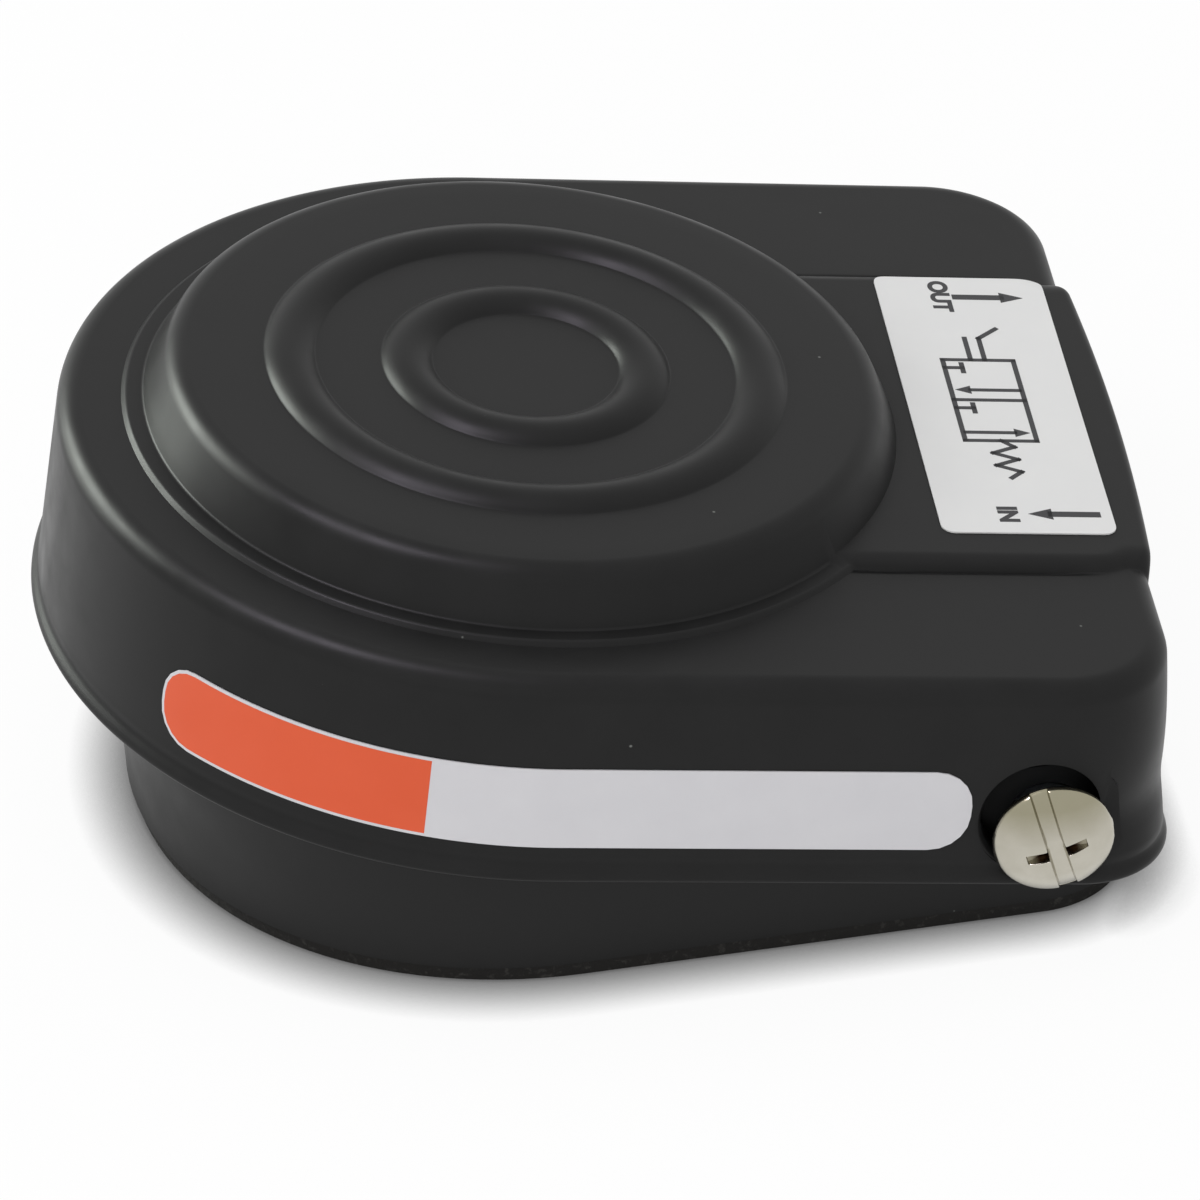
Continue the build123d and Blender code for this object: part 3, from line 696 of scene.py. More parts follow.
@dataclass
class TreadleCover:
    """Moulded treadle: ledge, plateau with beads, raised strip, drafted skirt, flared lip and hollow."""

    toe_radius: float = 41.5
    back: float = 53.4
    corner: float = 10.6
    toe_height: float = 34.5
    tilt: float = 10.0
    wall: float = 2.4
    lip_wall: float = 2.0
    skirt_depth: float = 20.2
    skirt_draft: float = 0.8
    rear_draft: float = 1.8
    lip_band: float = 1.8
    lip_flare: float = 0.54
    edge_round: float = 2.0
    foot_radius: float = 34.0
    top_radius: float = 31.7
    plateau_height: float = 5.35
    crest_round: float = 2.2
    foot_round: float = 0.35
    land_round: float = 0.45
    land_width: float = 1.5
    land_height: float = 0.45
    bead_radii: tuple[float, float] = (10.7, 21.2)
    bead_width: float = 4.6
    bead_height: float = 1.0
    bead_root: float = 0.12
    strip_half: float = 23.7
    strip_height: float = 0.9
    strip_shoulder: float = 1.7
    strip_corner: float = 4.5
    strip_overhang: float = 1.45
    strip_bow: float = 0.95
    strip_groove: tuple[float, float] = (0.28, 0.32)
    rear_swell: float = 0.2
    strip_fade: tuple[float, float] = (10.5, 14.0)
    strip_round: float = 0.8
    corner_bulge: float = 1.8
    bulge_depth: float = 15.0
    lip_square: float = 2.8
    notch_width: float = 44.0
    notch_top: float = 9.0
    notch_round: float = 4.0
    pocket_radius: float = 5.3
    pocket_lift: float = 1.6
    pocket_shift: float = -0.75
    pocket_floor: float = 39.7
    pocket_flare: float = 0.7
    ear_start: float = 38.3
    ear_size: tuple[float, float] = (12.4, 10.4)
    ear_round: float = 2.6
    bore_radius: float = 3.36
    spring_boss: tuple[float, float] = (6.6, 36.0)
    spring_post: tuple[float, float] = (2.5, 31.5)
    button_boss: float = 6.5
    button_plate: float = 1.6
    socket: tuple[float, float] = (2.53, 3.53)
    stop_post: float = 3.5
    stop_gap: float = 0.1
    stop_back: float = -27.0
    travel: float = 6.0
    rib_size: tuple[float, float] = (2.0, 4.0)
    rib_spacing: float = 54.0
    rib_gap: float = 0.3
    base_wall: float = 2.4
    base_draft: float = 0.45
    base_rim: tuple[float, float] = (26.0, 17.0)
    pivot: tuple[float, float] = field(init=False)
    toe_y: float = field(init=False)

    def __post_init__(self) -> None:
        """Read the pivot and the toe centre's place from the frame."""
        hinge = next(j for j in frame["joints"] if j["name"] == "treadle_hinge")
        _, y, z = hinge["pos_m"]
        self.pivot = (y / MM, z / MM)
        slope = math.radians(self.tilt)
        lip_radius = self.toe_radius + self.skirt_draft + self.lip_flare
        front_reach = lip_radius * math.cos(slope) + self.skirt_depth * math.sin(slope)
        self.toe_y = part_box("treadle_cover")[0].y / MM + front_reach
        self.columns = Outline()

    def to_row(self, local: np.ndarray) -> np.ndarray:
        """Turn points u, v, w into the row frame: a tilt about the left-right axis, then a shift."""
        c, s = math.cos(math.radians(self.tilt)), math.sin(math.radians(self.tilt))
        u, v, w = np.moveaxis(local, -1, 0)
        return np.stack([u, self.toe_y + v * c + w * s, self.toe_height - v * s + w * c], -1)

    def ledge(self, side: float, rear: float, square: float = 0.0) -> np.ndarray:
        """Outline outside the ledge's by amounts at the sides and the rear, with squarer corners.

        The rear swells out a little: a place's swell grows smoothly from the corner's start to the rear.
        """
        flat = self.columns.around(self.toe_radius + side, self.back + rear, self.corner + side - square)
        swell = self.rear_swell * smooth_step(flat[:, 1], self.back - self.corner, self.back)
        return flat + np.stack([np.zeros_like(swell), swell], -1)

    def wall_offset(self, depth: np.ndarray, draft: float) -> np.ndarray:
        """Distance of the outer wall from the ledge's outline at a depth below the ledge.

        It follows the top edge's arc down to where that touches the drafted wall, and then the straight
        wall, whose distance is the depth times the draft's slope.

        Args:
            depth: Depths below the ledge.
            draft: Growth of the wall down to the lip's band.

        Returns:
            Distances outwards, negative inside the outline.
        """
        slope = math.atan(draft / (self.skirt_depth - self.lip_band))
        start = self.edge_round * (math.tan(slope) - 1 / math.cos(slope))
        drop = self.edge_round - np.minimum(depth, self.edge_round)
        arc = start + np.sqrt(np.maximum(self.edge_round ** 2 - drop ** 2, 0))
        touch = self.edge_round * (1 - math.sin(slope))
        return np.where(depth < touch, arc, depth * math.tan(slope))

    def strip_rise(self, flat: np.ndarray) -> np.ndarray:
        """Height of the raised strip over places of the ledge's plane.

        The distance inwards from the strip's outline, which has round rear corners, gives the height: an
        arc from the foot up to the flat top, with a small fillet at the foot. Behind the line where the
        ledge's edge starts to roll over, the height stays as it is there.

        Args:
            flat: Places u, v in the ledge's plane, in millimetres.

        Returns:
            Heights, 0 beside the strip and in front of the toe centre.
        """
        radius = (self.strip_height ** 2 + self.strip_shoulder ** 2) / (2 * self.strip_height)
        u = np.maximum(np.abs(flat[..., 0]) - self.strip_half + self.strip_corner, 0)
        v = np.minimum(flat[..., 1], self.back - self.edge_round) - self.back + self.strip_corner
        v = np.maximum(v, 0) * smooth_step(u, 0.0, 0.8)
        inward = self.strip_corner - np.hypot(u, v)
        lack = np.clip(self.strip_shoulder - inward, 0, self.strip_shoulder)
        arc = self.strip_height - radius + np.sqrt(radius ** 2 - lack ** 2)
        below = np.minimum(inward, 0) * self.strip_shoulder / (radius - self.strip_height)
        rise = smooth_max(arc + below, np.zeros_like(arc), 0.12)
        depth, width = self.strip_groove
        rise = rise - depth * np.exp(-(inward / width) ** 2) * (1 - smooth_step(flat[..., 1], 44.0, 50.0))
        return rise * (flat[..., 1] > 0)

    def plateau_profile(self) -> np.ndarray:
        """Radius and height from near the centre, over both beads and the crest, to the land's foot.

        A bead is a low arc with a small fillet at each root, and the crest, foot and land edges are arcs.
        """
        top = self.plateau_height
        land_end = self.foot_radius + self.land_width
        path = rounded_path(
            [(self.top_radius - 3.2, top), (self.top_radius, top), (self.foot_radius, self.land_height),
             (land_end, self.land_height), (self.columns.ring, 0.0)],
            [self.crest_round, self.foot_round, self.land_round], 10)
        half = self.bead_width / 2
        arc = (half ** 2 + self.bead_height ** 2) / (2 * self.bead_height)
        root = np.array([-0.3, -0.18, -0.1, -0.04, 0.02, 0.09, 0.18, 0.32])
        across = np.concatenate([root - half, np.linspace(-half + 0.5, half - 0.5, 13), -root[::-1] + half])
        small, large = self.bead_radii
        radii = np.concatenate([[1.5, 4.0, 6.5], small + across, [15.0, 17.0], large + across,
                                [25.2, 27.2]])
        height = np.zeros_like(radii)
        for radius in self.bead_radii:
            x = np.abs(radii - radius)
            crown = self.bead_height - arc + np.sqrt(np.maximum(arc ** 2 - x ** 2, 0.01))
            height = smooth_max(height, np.where(x < half + 0.4, crown, -1.0), self.bead_root)
        return np.concatenate([np.column_stack([radii, top + height]), path])

    def top_rows(self) -> np.ndarray:
        """Rows of the top, from the centre to the land's foot, with the strip where it is higher."""
        rays = self.columns.rays(self.toe_radius, self.back, self.corner)
        profile = self.plateau_profile()
        flat = profile[:, None, :1] * rays[None]
        height = np.broadcast_to(profile[:, 1:], flat.shape[:2])
        raised = self.strip_rise(flat)
        share = np.clip(raised / self.strip_height, 0, 1)
        height = smooth_max(height, raised, 0.3 * share + 1e-6)
        return np.concatenate([flat, height[..., None]], -1)

    def strip_reach(self, u: np.ndarray) -> np.ndarray:
        """Distance of the strip's bowed rear face from the ledge's rear edge."""
        return self.strip_overhang - self.strip_bow * np.clip(u / self.strip_half, -1, 1) ** 2

    def skirt_rows(self) -> np.ndarray:
        """Rows over the top edge and down the skirt to the lip's band.

        Rows of the plain wall and of the strip's rear are worked out apart and mixed by the strip's
        share, so that the strip rolls over the edge between two rounded shoulders.

        Returns:
            Points as row, column and coordinate.
        """
        arc = np.linspace(0, math.pi / 2, 12)
        down = np.array([2.2, 2.9, 3.8, 5, 6.5, 8, 9.5, 11, 12, 13, 14, 15, 16, 17, 17.6])
        depth = np.concatenate([self.edge_round * (1 - np.cos(arc)), down])
        sides = self.wall_offset(depth, self.skirt_draft)
        rears = self.wall_offset(depth, self.rear_draft)
        squares = self.corner_bulge * np.sin(math.pi * np.clip(depth / self.bulge_depth, 0, 1))
        squares = squares + self.lip_square * smooth_step(depth, 13.0, self.skirt_depth - self.lip_band)
        flat = np.stack([self.ledge(s, r, q) for s, r, q in zip(sides, rears, squares)])
        plain = np.concatenate([flat, -np.broadcast_to(depth[:, None, None], flat.shape[:2] + (1,))], -1)
        u = plain[0, :, 0]
        share = np.clip(self.strip_rise(plain[0, :, :2]) / self.strip_height, 0, 1)
        reach = self.strip_reach(u)
        drop = self.strip_round * (1 - np.cos(arc))
        out = self.strip_round * (np.sin(arc) - 1)
        gain = self.edge_round + self.strip_height - self.strip_round
        lower = down - gain * np.clip(1 - (down - self.edge_round) / 5.0, 0, 1)
        fall = np.concatenate([drop - self.strip_height, lower])
        hold = 1 - smooth_step(fall, *self.strip_fade)
        face = np.concatenate([out, np.zeros_like(down)])[:, None] + reach[None] * hold[:, None]
        drafted = np.maximum(fall, 0) * self.rear_draft / (self.skirt_depth - self.lip_band)
        face = np.where((fall > 0)[:, None], np.maximum(face, drafted[:, None]), face)
        strip = np.stack([np.broadcast_to(u, face.shape), self.back + face,
                          np.broadcast_to(-fall[:, None], face.shape)], -1)
        mix = share[None, :, None]
        return plain * (1 - mix) + strip * mix

    def lip_rows(self) -> np.ndarray:
        """Rows of the hollowed band above the lip, the lip's rounded edge and its underside."""
        drop = np.array([-0.35, 0.0, 0.25, 0.5, 0.75, 1.0, 1.25, 1.45, 1.6, 1.72, 1.8, 1.8])
        flare = np.array([0.0, -0.05, 0.0, 0.14, 0.32, 0.46, 0.53, 0.54, 0.5, 0.4, 0.25, -0.3])
        base = self.skirt_depth - self.lip_band
        rows = []
        for d, f in zip(drop, flare):
            flat = self.ledge(self.skirt_draft + f, self.rear_draft + f, self.lip_square)
            rows.append(np.column_stack([flat, np.full(len(flat), -(base + d))]))
        return np.stack(rows)

    def inner_rows(self) -> np.ndarray:
        """Rows of the hollow, from the lip's inner edge up the wall and over the ceiling to the centre."""
        inset_corner = self.corner - self.wall
        flare = self.skirt_draft + self.lip_flare - self.lip_wall
        rear_flare = self.rear_draft + self.lip_flare - self.lip_wall
        rows = []
        share = np.concatenate([[0.0], np.linspace(0.02, 1, 9)])
        sides = flare + (-self.wall - flare) * share
        rears = rear_flare + (-self.wall - rear_flare) * share
        depths = self.skirt_depth - (self.skirt_depth - self.wall) * share
        for side, rear, depth in zip(sides, rears, depths):
            flat = self.columns.around(self.toe_radius + side, self.back + rear, inset_corner)
            rows.append(np.column_stack([flat, np.full(len(flat), -depth)]))
        rays = self.columns.rays(self.toe_radius, self.back, self.corner)
        foot = self.foot_radius - self.wall
        for mix in (0.35, 0.7, 1.0):
            flat = rows[len(share) - 1][:, :2] * (1 - mix) + foot * rays * mix
            rows.append(np.column_stack([flat, np.full(len(flat), -self.wall)]))
        top = self.plateau_height - self.wall
        crown = self.top_radius - self.wall
        for radius, height in ((crown, top), (crown * 0.6, top), (crown * 0.3, top), (1.5, top)):
            rows.append(np.column_stack([radius * rays, np.full(len(rays), height)]))
        return np.stack(rows)

    def shell(self) -> bpy.types.Object:
        """Closed skin of the treadle: top, skirt, lip and hollow in one run of rows."""
        top = self.top_rows()
        skirt = self.skirt_rows()
        start, end = top[-1], skirt[0]
        steps = np.concatenate([np.linspace(0, 0.78, 8)[1:], np.linspace(0.8, 1, 13)[:-1]])
        between = steps[:, None, None]
        flat = start[None, :, :2] * (1 - between) + end[None, :, :2] * between
        ledge = np.concatenate([flat, self.strip_rise(flat)[..., None]], -1)
        rows = np.concatenate([top, ledge, skirt, self.lip_rows(), self.inner_rows()])
        centre = np.array([0.0, 0.0, self.plateau_height])
        hollow = np.array([0.0, 0.0, self.plateau_height - self.wall])
        rows, centre, hollow = self.to_row(rows), self.to_row(centre), self.to_row(hollow)
        return closed_surface("treadle_cover_shell", rows, centre, hollow)

    def side_blocks(self) -> tuple[list, list, list]:
        """Ears inside the skirt, pockets round the screws and bores for the sleeves, on both sides."""
        ears, pockets, bores = [], [], []
        y, z = self.pivot
        outside = self.toe_radius + self.skirt_draft
        for side in (1, -1):
            outline = rounded_box(*self.ear_size, self.ear_round)
            points, faces = prism(outline, self.ear_start, outside - 0.9)
            ears.append((sideways(points, side, y, z), faces))
            points, faces = turned(self.pocket_profile(), 96)
            pockets.append((sideways(points, side, y + self.pocket_shift, z + self.pocket_lift), faces))
            points, faces = prism(circle(self.bore_radius, 72), self.ear_start - 2, self.pocket_floor + 9)
            bores.append((sideways(points, side, y, z), faces))
        return ears, pockets, bores

    def pocket_profile(self) -> list[tuple[float, float]]:
        """Radius and distance out of a pocket's cutter, whose mouth flares along an arc."""
        turn = np.linspace(0, math.pi / 2, 9)
        wall = self.toe_radius + self.skirt_draft - 0.1
        flare = self.pocket_flare
        radius = self.pocket_radius + flare * (1 - np.cos(turn))
        out = wall - flare * (1 - np.sin(turn))
        end = (float(radius[-1]), wall + 6.0)
        return [(self.pocket_radius, self.pocket_floor), *zip(radius.tolist(), out.tolist()), end]

    def notch_block(self) -> Shape:
        """Block that opens the rear of the skirt for the hoses."""
        height = 2 * (self.skirt_depth - self.notch_top)
        points, faces = prism(rounded_box(self.notch_width, height, self.notch_round), -6.0, 6.0)
        across, up, along = points.T
        local = np.column_stack([across, self.back - along, up - self.skirt_depth])
        return self.to_row(local), faces

    def ceiling(self, back: float, level: float) -> float:
        """Height in the row of a level of the treadle's own frame, at a distance behind the toe centre."""
        slope = math.radians(self.tilt)
        return self.toe_height - back * math.tan(slope) + level / math.cos(slope)

    def stop_place(self) -> tuple[float, float]:
        """Place at rest of the stop post's end, which meets the bumper when the treadle is pressed."""
        turn = math.radians(self.travel)
        y, z = self.pivot
        back = self.toe_y + self.stop_back - y
        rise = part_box("stop_bumper")[1].z / MM + self.stop_gap + self.stop_post * math.sin(turn) - z
        c, s = math.cos(turn), math.sin(turn)
        return y + back * c + rise * s, z + rise * c - back * s

    def inner_blocks(self) -> tuple[list, list]:
        """Spring boss, button boss, stop post and rear ribs under the treadle, and the button's socket."""
        inside = self.plateau_height - self.wall / 2
        spring, button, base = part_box("return_spring"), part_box("actuator_button"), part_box("base_pan")
        spring_y = (spring[0].y + spring[1].y) / 2 / MM
        button_y = (button[0].y + button[1].y) / 2 / MM
        seat = button[0].z / MM + self.button_plate
        stop_y, stop_z = self.stop_place()
        boss, boss_low = self.spring_boss
        post, post_low = self.spring_post
        stop = self.stop_post
        spring_high = self.ceiling(spring_y - self.toe_y, inside)
        button_high = self.ceiling(button_y - self.toe_y, inside)
        stop_high = self.ceiling(stop_y - self.toe_y, inside)
        posts = [
            ([(post - 0.5, post_low), (post, post_low + 0.5), (post, boss_low), (boss, boss_low),
              (boss, spring_high)], spring_y),
            ([(self.button_boss, seat), (self.button_boss, button_high)], button_y),
            ([(stop - 0.3, stop_z), (stop, stop_z + 0.3), (stop, stop_high)], stop_y),
        ]
        blocks = [(points + (0, y, 0), faces) for (points, faces), y in
                  ((turned(profile), y) for profile, y in posts)]
        front_rim, rear_rim = self.base_rim
        low_y, high_y = base[0].y / MM, base[1].y / MM
        rib_y = high_y - 2 * self.base_draft - self.base_wall / 2
        rise = (front_rim - rear_rim) * (high_y - rib_y + self.rib_size[1] / 2) / (high_y - low_y)
        low = rear_rim + rise + self.rib_gap
        high = self.ceiling(rib_y - self.toe_y, -self.wall / 2)
        for side in (1, -1):
            points, faces = prism(rounded_box(*self.rib_size, 0.4), low, high)
            blocks.append((points + (side * self.rib_spacing / 2, rib_y, 0), faces))
        width, length = self.socket
        points, faces = turned([(width, seat - 1.0), (width, seat + length)])
        return blocks, [(points + (0, button_y, 0), faces)]

    def build(self, material: bpy.types.Material) -> bpy.types.Object:
        """Make the treadle's visible cover and dress it."""
        cover = self.shell()
        ears, pockets, bores = self.side_blocks()
        blocks, sockets = self.inner_blocks()
        combine(cover, joined(ears), Cut.ADD)
        combine(cover, joined(blocks), Cut.ADD)
        combine(cover, joined([*pockets, self.notch_block()]), Cut.TAKE)
        combine(cover, joined([*bores, *sockets]), Cut.TAKE)
        dress(cover, material)
        place(cover, "treadle", ["treadle_cover"])
        return cover


class Lamp(Enum):
    """What a lamp's light reaches."""

    BOTH = "diffuse and gloss"
    GLOSS = "gloss"
    FILL = "diffuse"


@dataclass
class Studio:
    """Pale floor, soft lamps and the camera at the photograph's place."""

    target: tuple[float, float, float] = (0.0, 3.376, 14.475)
    azimuth: float = 86.03
    elevation: float = 35.85
    roll: float = -5.21
    distance: float = 680.1
    lens: float = 222.97
    sensor: float = 36.0
    shift: tuple[float, float] = (-0.01718, -0.01358)
    floor_half: float = 1500.0
    floor_glow: float = 0.93
    # Reach and power of the painted contact shadow in the floor's glow.
    contact: float = 6.0
    painted_shadow_power: float = 2.4
    sky: float = 0.6

    def camera(self) -> None:
        """Make the camera: it looks at the target from an azimuth and elevation, rolled a little."""
        a, e = math.radians(self.azimuth), math.radians(self.elevation)
        back = Vector((math.sin(a) * math.cos(e), -math.cos(a) * math.cos(e), math.sin(e)))
        right = Vector((math.cos(a), math.sin(a), 0.0))
        up = back.cross(right)
        c, s = math.cos(math.radians(self.roll)), math.sin(math.radians(self.roll))
        axes = (c * right + s * up, c * up - s * right, back)
        data = bpy.data.cameras.new("camera")
        data.lens, data.sensor_width = self.lens, self.sensor
        data.shift_x, data.shift_y = self.shift
        data.clip_start, data.clip_end = 0.05, 20.0
        camera = bpy.data.objects.new("camera", data)
        eye = Vector(self.target) * MM + back * self.distance * MM
        camera.matrix_world = Matrix.Translation(eye) @ Matrix(axes).transposed().to_4x4()
        bpy.context.scene.collection.objects.link(camera)
        bpy.context.scene.camera = camera

    def seen(self, tree: bpy.types.NodeTree) -> bpy.types.NodeSocket:
        """Value that is 1 for what the camera, gloss and glass see, and 0 for diffuse light."""
        path = add_node(tree, "ShaderNodeLightPath")
        sight = add_node(tree, "ShaderNodeMath", {0: path.outputs["Is Camera Ray"],
                                                  1: path.outputs["Is Glossy Ray"]}, operation="MAXIMUM")
        both = add_node(tree, "ShaderNodeMath", {0: sight.outputs[0],
                                                 1: path.outputs["Is Transmission Ray"]}, operation="MAXIMUM")
        return both.outputs[0]

    def floor(self) -> None:
        """Make the floor: nearly white to the camera, faint lamp shadows, and a painted contact shadow from
        ambient occlusion.
        """
        half = self.floor_half
        corners = np.array([(-half, -half, 0.0), (half, -half, 0.0), (half, half, 0.0), (-half, half, 0.0)])
        floor = new_piece("studio_floor", corners, [[0, 1, 2, 3]])
        material = bpy.data.materials.new("studio_paper")
        material.use_nodes = True
        tree = material.node_tree
        tree.nodes.clear()
        paper = add_node(tree, "ShaderNodeBsdfDiffuse", {"Color": srgb("#fafafa")})
        # Painted contact shadow: the glow that camera, gloss and glass rays see falls with ambient occlusion.
        contact = add_node(tree, "ShaderNodeAmbientOcclusion", {"Distance": self.contact * MM}, samples=12)
        sky = add_node(tree, "ShaderNodeMath", {0: contact.outputs["AO"], 1: self.painted_shadow_power},
                       operation="POWER")
        white = add_node(tree, "ShaderNodeEmission", {"Color": (1, 1, 1, 1), "Strength": sky.outputs[0]})
        share = add_node(tree, "ShaderNodeMath", {0: self.seen(tree), 1: self.floor_glow},
                         operation="MULTIPLY")
        mix = add_node(tree, "ShaderNodeMixShader", {0: share.outputs[0], 1: paper.outputs[0],
                                                     2: white.outputs[0]})
        add_node(tree, "ShaderNodeOutputMaterial", {"Surface": mix.outputs[0]})
        dress(floor, material)

    def world(self) -> None:
        """White world for what the camera, gloss and glass see, and a plain level for the rest."""
        world = bpy.data.worlds.new("studio_world")
        bpy.context.scene.world = world
        world.use_nodes = True
        tree = world.node_tree
        tree.nodes.clear()
        level = add_node(tree, "ShaderNodeMapRange", {"Value": self.seen(tree), "To Min": self.sky,
                                                      "To Max": 1.0})
        back = add_node(tree, "ShaderNodeBackground", {"Color": (1, 1, 1, 1), "Strength": level.outputs[0]})
        add_node(tree, "ShaderNodeOutputWorld", {"Surface": back.outputs[0]})

    def lamp(self, name: str, place_mm: Sequence[float], size: float, watts: float, colour: str,
             kind: Lamp) -> None:
        """Make a square soft lamp that faces the middle of the switch.

        Args:
            name: Name of the lamp.
            place_mm: Where it stands, in millimetres.
            size: Side of the square.
            watts: Power.
            colour: Hex value of its light.
            kind: What its light reaches.
        """
        data = bpy.data.lights.new(name, "AREA")
        data.shape, data.size, data.energy = "SQUARE", size * MM, watts
        data.color = srgb(colour)[:3]
        lamp = bpy.data.objects.new(name, data)
        lamp.visible_diffuse = kind is not Lamp.GLOSS
        lamp.visible_glossy = kind is not Lamp.FILL
        where = Vector(place_mm) * MM
        lamp.location = where
        lamp.rotation_euler = (Vector(self.target) * MM - where).to_track_quat("-Z", "Y").to_euler()
        bpy.context.scene.collection.objects.link(lamp)

    def build(self) -> None:
        """Make the whole studio."""
        self.camera()
        self.floor()
        self.world()
        self.lamp("key_lamp", (-230, -520, 330), 300, 0.7, "#ffffff", Lamp.BOTH)
        self.lamp("window_card", (-330, -430, 330), 270, 5.0, "#f4fbf2", Lamp.GLOSS)
        self.lamp("side_card", (-470, -600, 100), 380, 2.2, "#f4fbf2", Lamp.GLOSS)
        self.lamp("ceiling_card", (70, -200, 620), 260, 2.6, "#efe6f6", Lamp.GLOSS)
        self.lamp("top_lamp", (-60, -120, 640), 520, 1.0, "#ffffff", Lamp.FILL)
        self.lamp("fill_lamp", (620, -150, 300), 420, 1.15, "#ffffff", Lamp.FILL)
        scene = bpy.context.scene
        scene.view_settings.view_transform = "Standard"


@dataclass
class PivotScrew:
    """Truss-head screw on one side: a low dome with a long slot and a short cross arm, and a thread."""

    side: int
    node: str
    turn: float
    head_radius: float = 5.4
    head_height: float = 2.7
    rim: float = 0.5
    rim_round: float = 0.22
    slot_half: float = 0.8
    slot_depth: float = 0.95
    slot_end: float = 0.4
    cross_half: float = 2.7
    cross_width: float = 0.5
    cross_depth: float = 1.7
    edge: float = 0.045
    shank_radius: float = 2.4
    shank_length: float = 19.05
    pitch: float = 0.794
    thread_depth: float = 0.36

    def height(self, a: np.ndarray, b: np.ndarray, arm: np.ndarray) -> np.ndarray:
        """Height of the head over its seat.

        The dome is part of a sphere. The slot's floor is flat and drops with the dome near the rim. The
        cross arms are deeper and lie beside the slot. All walls are steep, with a small round at the top.

        Args:
            a: Distances along the slot.
            b: Distances across the slot.
            arm: Distances from the cross arm's middle line.

        Returns:
            Heights in millimetres.
        """
        rise = self.head_height - self.rim
        sphere = (self.head_radius ** 2 + rise ** 2) / (2 * rise)
        r = np.hypot(a, b)
        dome = self.head_height - sphere + np.sqrt(sphere ** 2 - r ** 2)
        past = np.clip(r - self.head_radius + self.rim_round, 0, self.rim_round)
        dome = dome - self.rim_round + np.sqrt(self.rim_round ** 2 - past ** 2)
        in_slot = 1 - smooth_step(np.abs(b), self.slot_half - self.edge, self.slot_half + self.edge)
        in_arm = 1 - smooth_step(np.abs(arm), self.cross_width - self.edge, self.cross_width + self.edge)
        reach = 1 - smooth_step(np.abs(b), self.cross_half - self.edge, self.cross_half + self.edge)
        in_arm = in_arm * reach * (1 - in_slot)
        slot_floor = np.minimum(self.head_height - self.slot_depth, dome - self.slot_end)
        arm_floor = self.head_height - self.cross_depth + 0.8 * np.clip(np.abs(b) / self.cross_half, 0, 1)
        worn = 0.05 * np.exp(-((np.abs(b) - self.slot_half) / 0.12) ** 2)
        cut = np.minimum(dome, dome + (slot_floor - dome) * in_slot - worn)
        return np.maximum(np.minimum(cut, dome + (np.minimum(arm_floor, dome) - dome) * in_arm), 0.1)

    def head(self) -> Shape:
        """Head as a closed patch whose rows are chords along the slot, over its flat seat."""
        edge = self.slot_half
        arm_edge = self.cross_width / self.head_radius
        walls = (edge, -edge, self.cross_half, -self.cross_half)
        b = stations(self.head_radius * 0.999, walls, 0.28, self.edge)
        ends = 1 - np.array([0.0, 0.006, 0.014, 0.025, 0.04])
        t = stations(0.95, (arm_edge, -arm_edge), 0.05, self.edge / self.head_radius)
        t = np.concatenate([-ends, t, ends[::-1]])
        chord = np.sqrt(self.head_radius ** 2 - b ** 2)
        along, across = chord[:, None] * t[None], np.broadcast_to(b[:, None], (len(b), len(t)))
        arm = np.broadcast_to(t[None] * self.head_radius, along.shape)
        height = self.height(along, across, arm)
        top = np.stack([across, along, height], -1)
        return closed_patch(top, top * (1, 1, 0))

    def shank(self) -> Shape:
        """Threaded shank: the radius follows the turns of a rounded thread and closes at the tip."""
        columns = 48
        along = np.linspace(0, self.shank_length, 230)
        angle = np.linspace(0, 2 * math.pi, columns, endpoint=False)
        phase = along[:, None] / self.pitch - angle[None] / (2 * math.pi)
        depth = self.thread_depth * smooth_step(along, 4.6, 5.6)[:, None]
        radius = self.shank_radius - depth * (0.5 - 0.5 * np.cos(2 * math.pi * phase)) ** 1.5
        radius = radius - 0.5 * smooth_step(along, self.shank_length - 0.6, self.shank_length)[:, None]
        rings = np.stack([radius * np.cos(angle), radius * np.sin(angle),
                          np.broadcast_to(-along[:, None], radius.shape)], -1)
        poles = np.array([[0, 0, 0.4], [0, 0, -self.shank_length]])
        ring = np.arange(columns)
        ahead = np.roll(ring, -1)
        last = (len(along) - 1) * columns
        pole = np.full(columns, len(along) * columns)
        caps = [np.stack([pole, ring, ahead], 1), np.stack([pole + 1, ahead + last, ring + last], 1)]
        faces = grid_faces(len(along), columns, True) + np.concatenate(caps).tolist()
        return np.concatenate([rings.reshape(-1, 3), poles]), faces

    def build(self, material: bpy.types.Material) -> None:
        """Make the screw on its axis and dress it."""
        low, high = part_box(self.node)
        y, z = (low.y + high.y) / 2 / MM, (low.z + high.z) / 2 / MM
        inner = low.x if self.side > 0 else high.x
        seat = inner / MM + self.side * self.shank_length
        c, s = math.cos(math.radians(self.turn)), math.sin(math.radians(self.turn))
        out = np.array([self.side, 0, 0.0])
        slot = np.array([0, -s, c])
        across = np.cross(slot, out)
        points, faces = joined([self.head(), self.shank()])
        placed = points @ np.stack([across, slot, out]) + (seat, y, z)
        piece = new_piece(self.node + "_detailed", placed, faces, 40.0)
        dress(piece, material)
        place(piece, "base", [self.node])


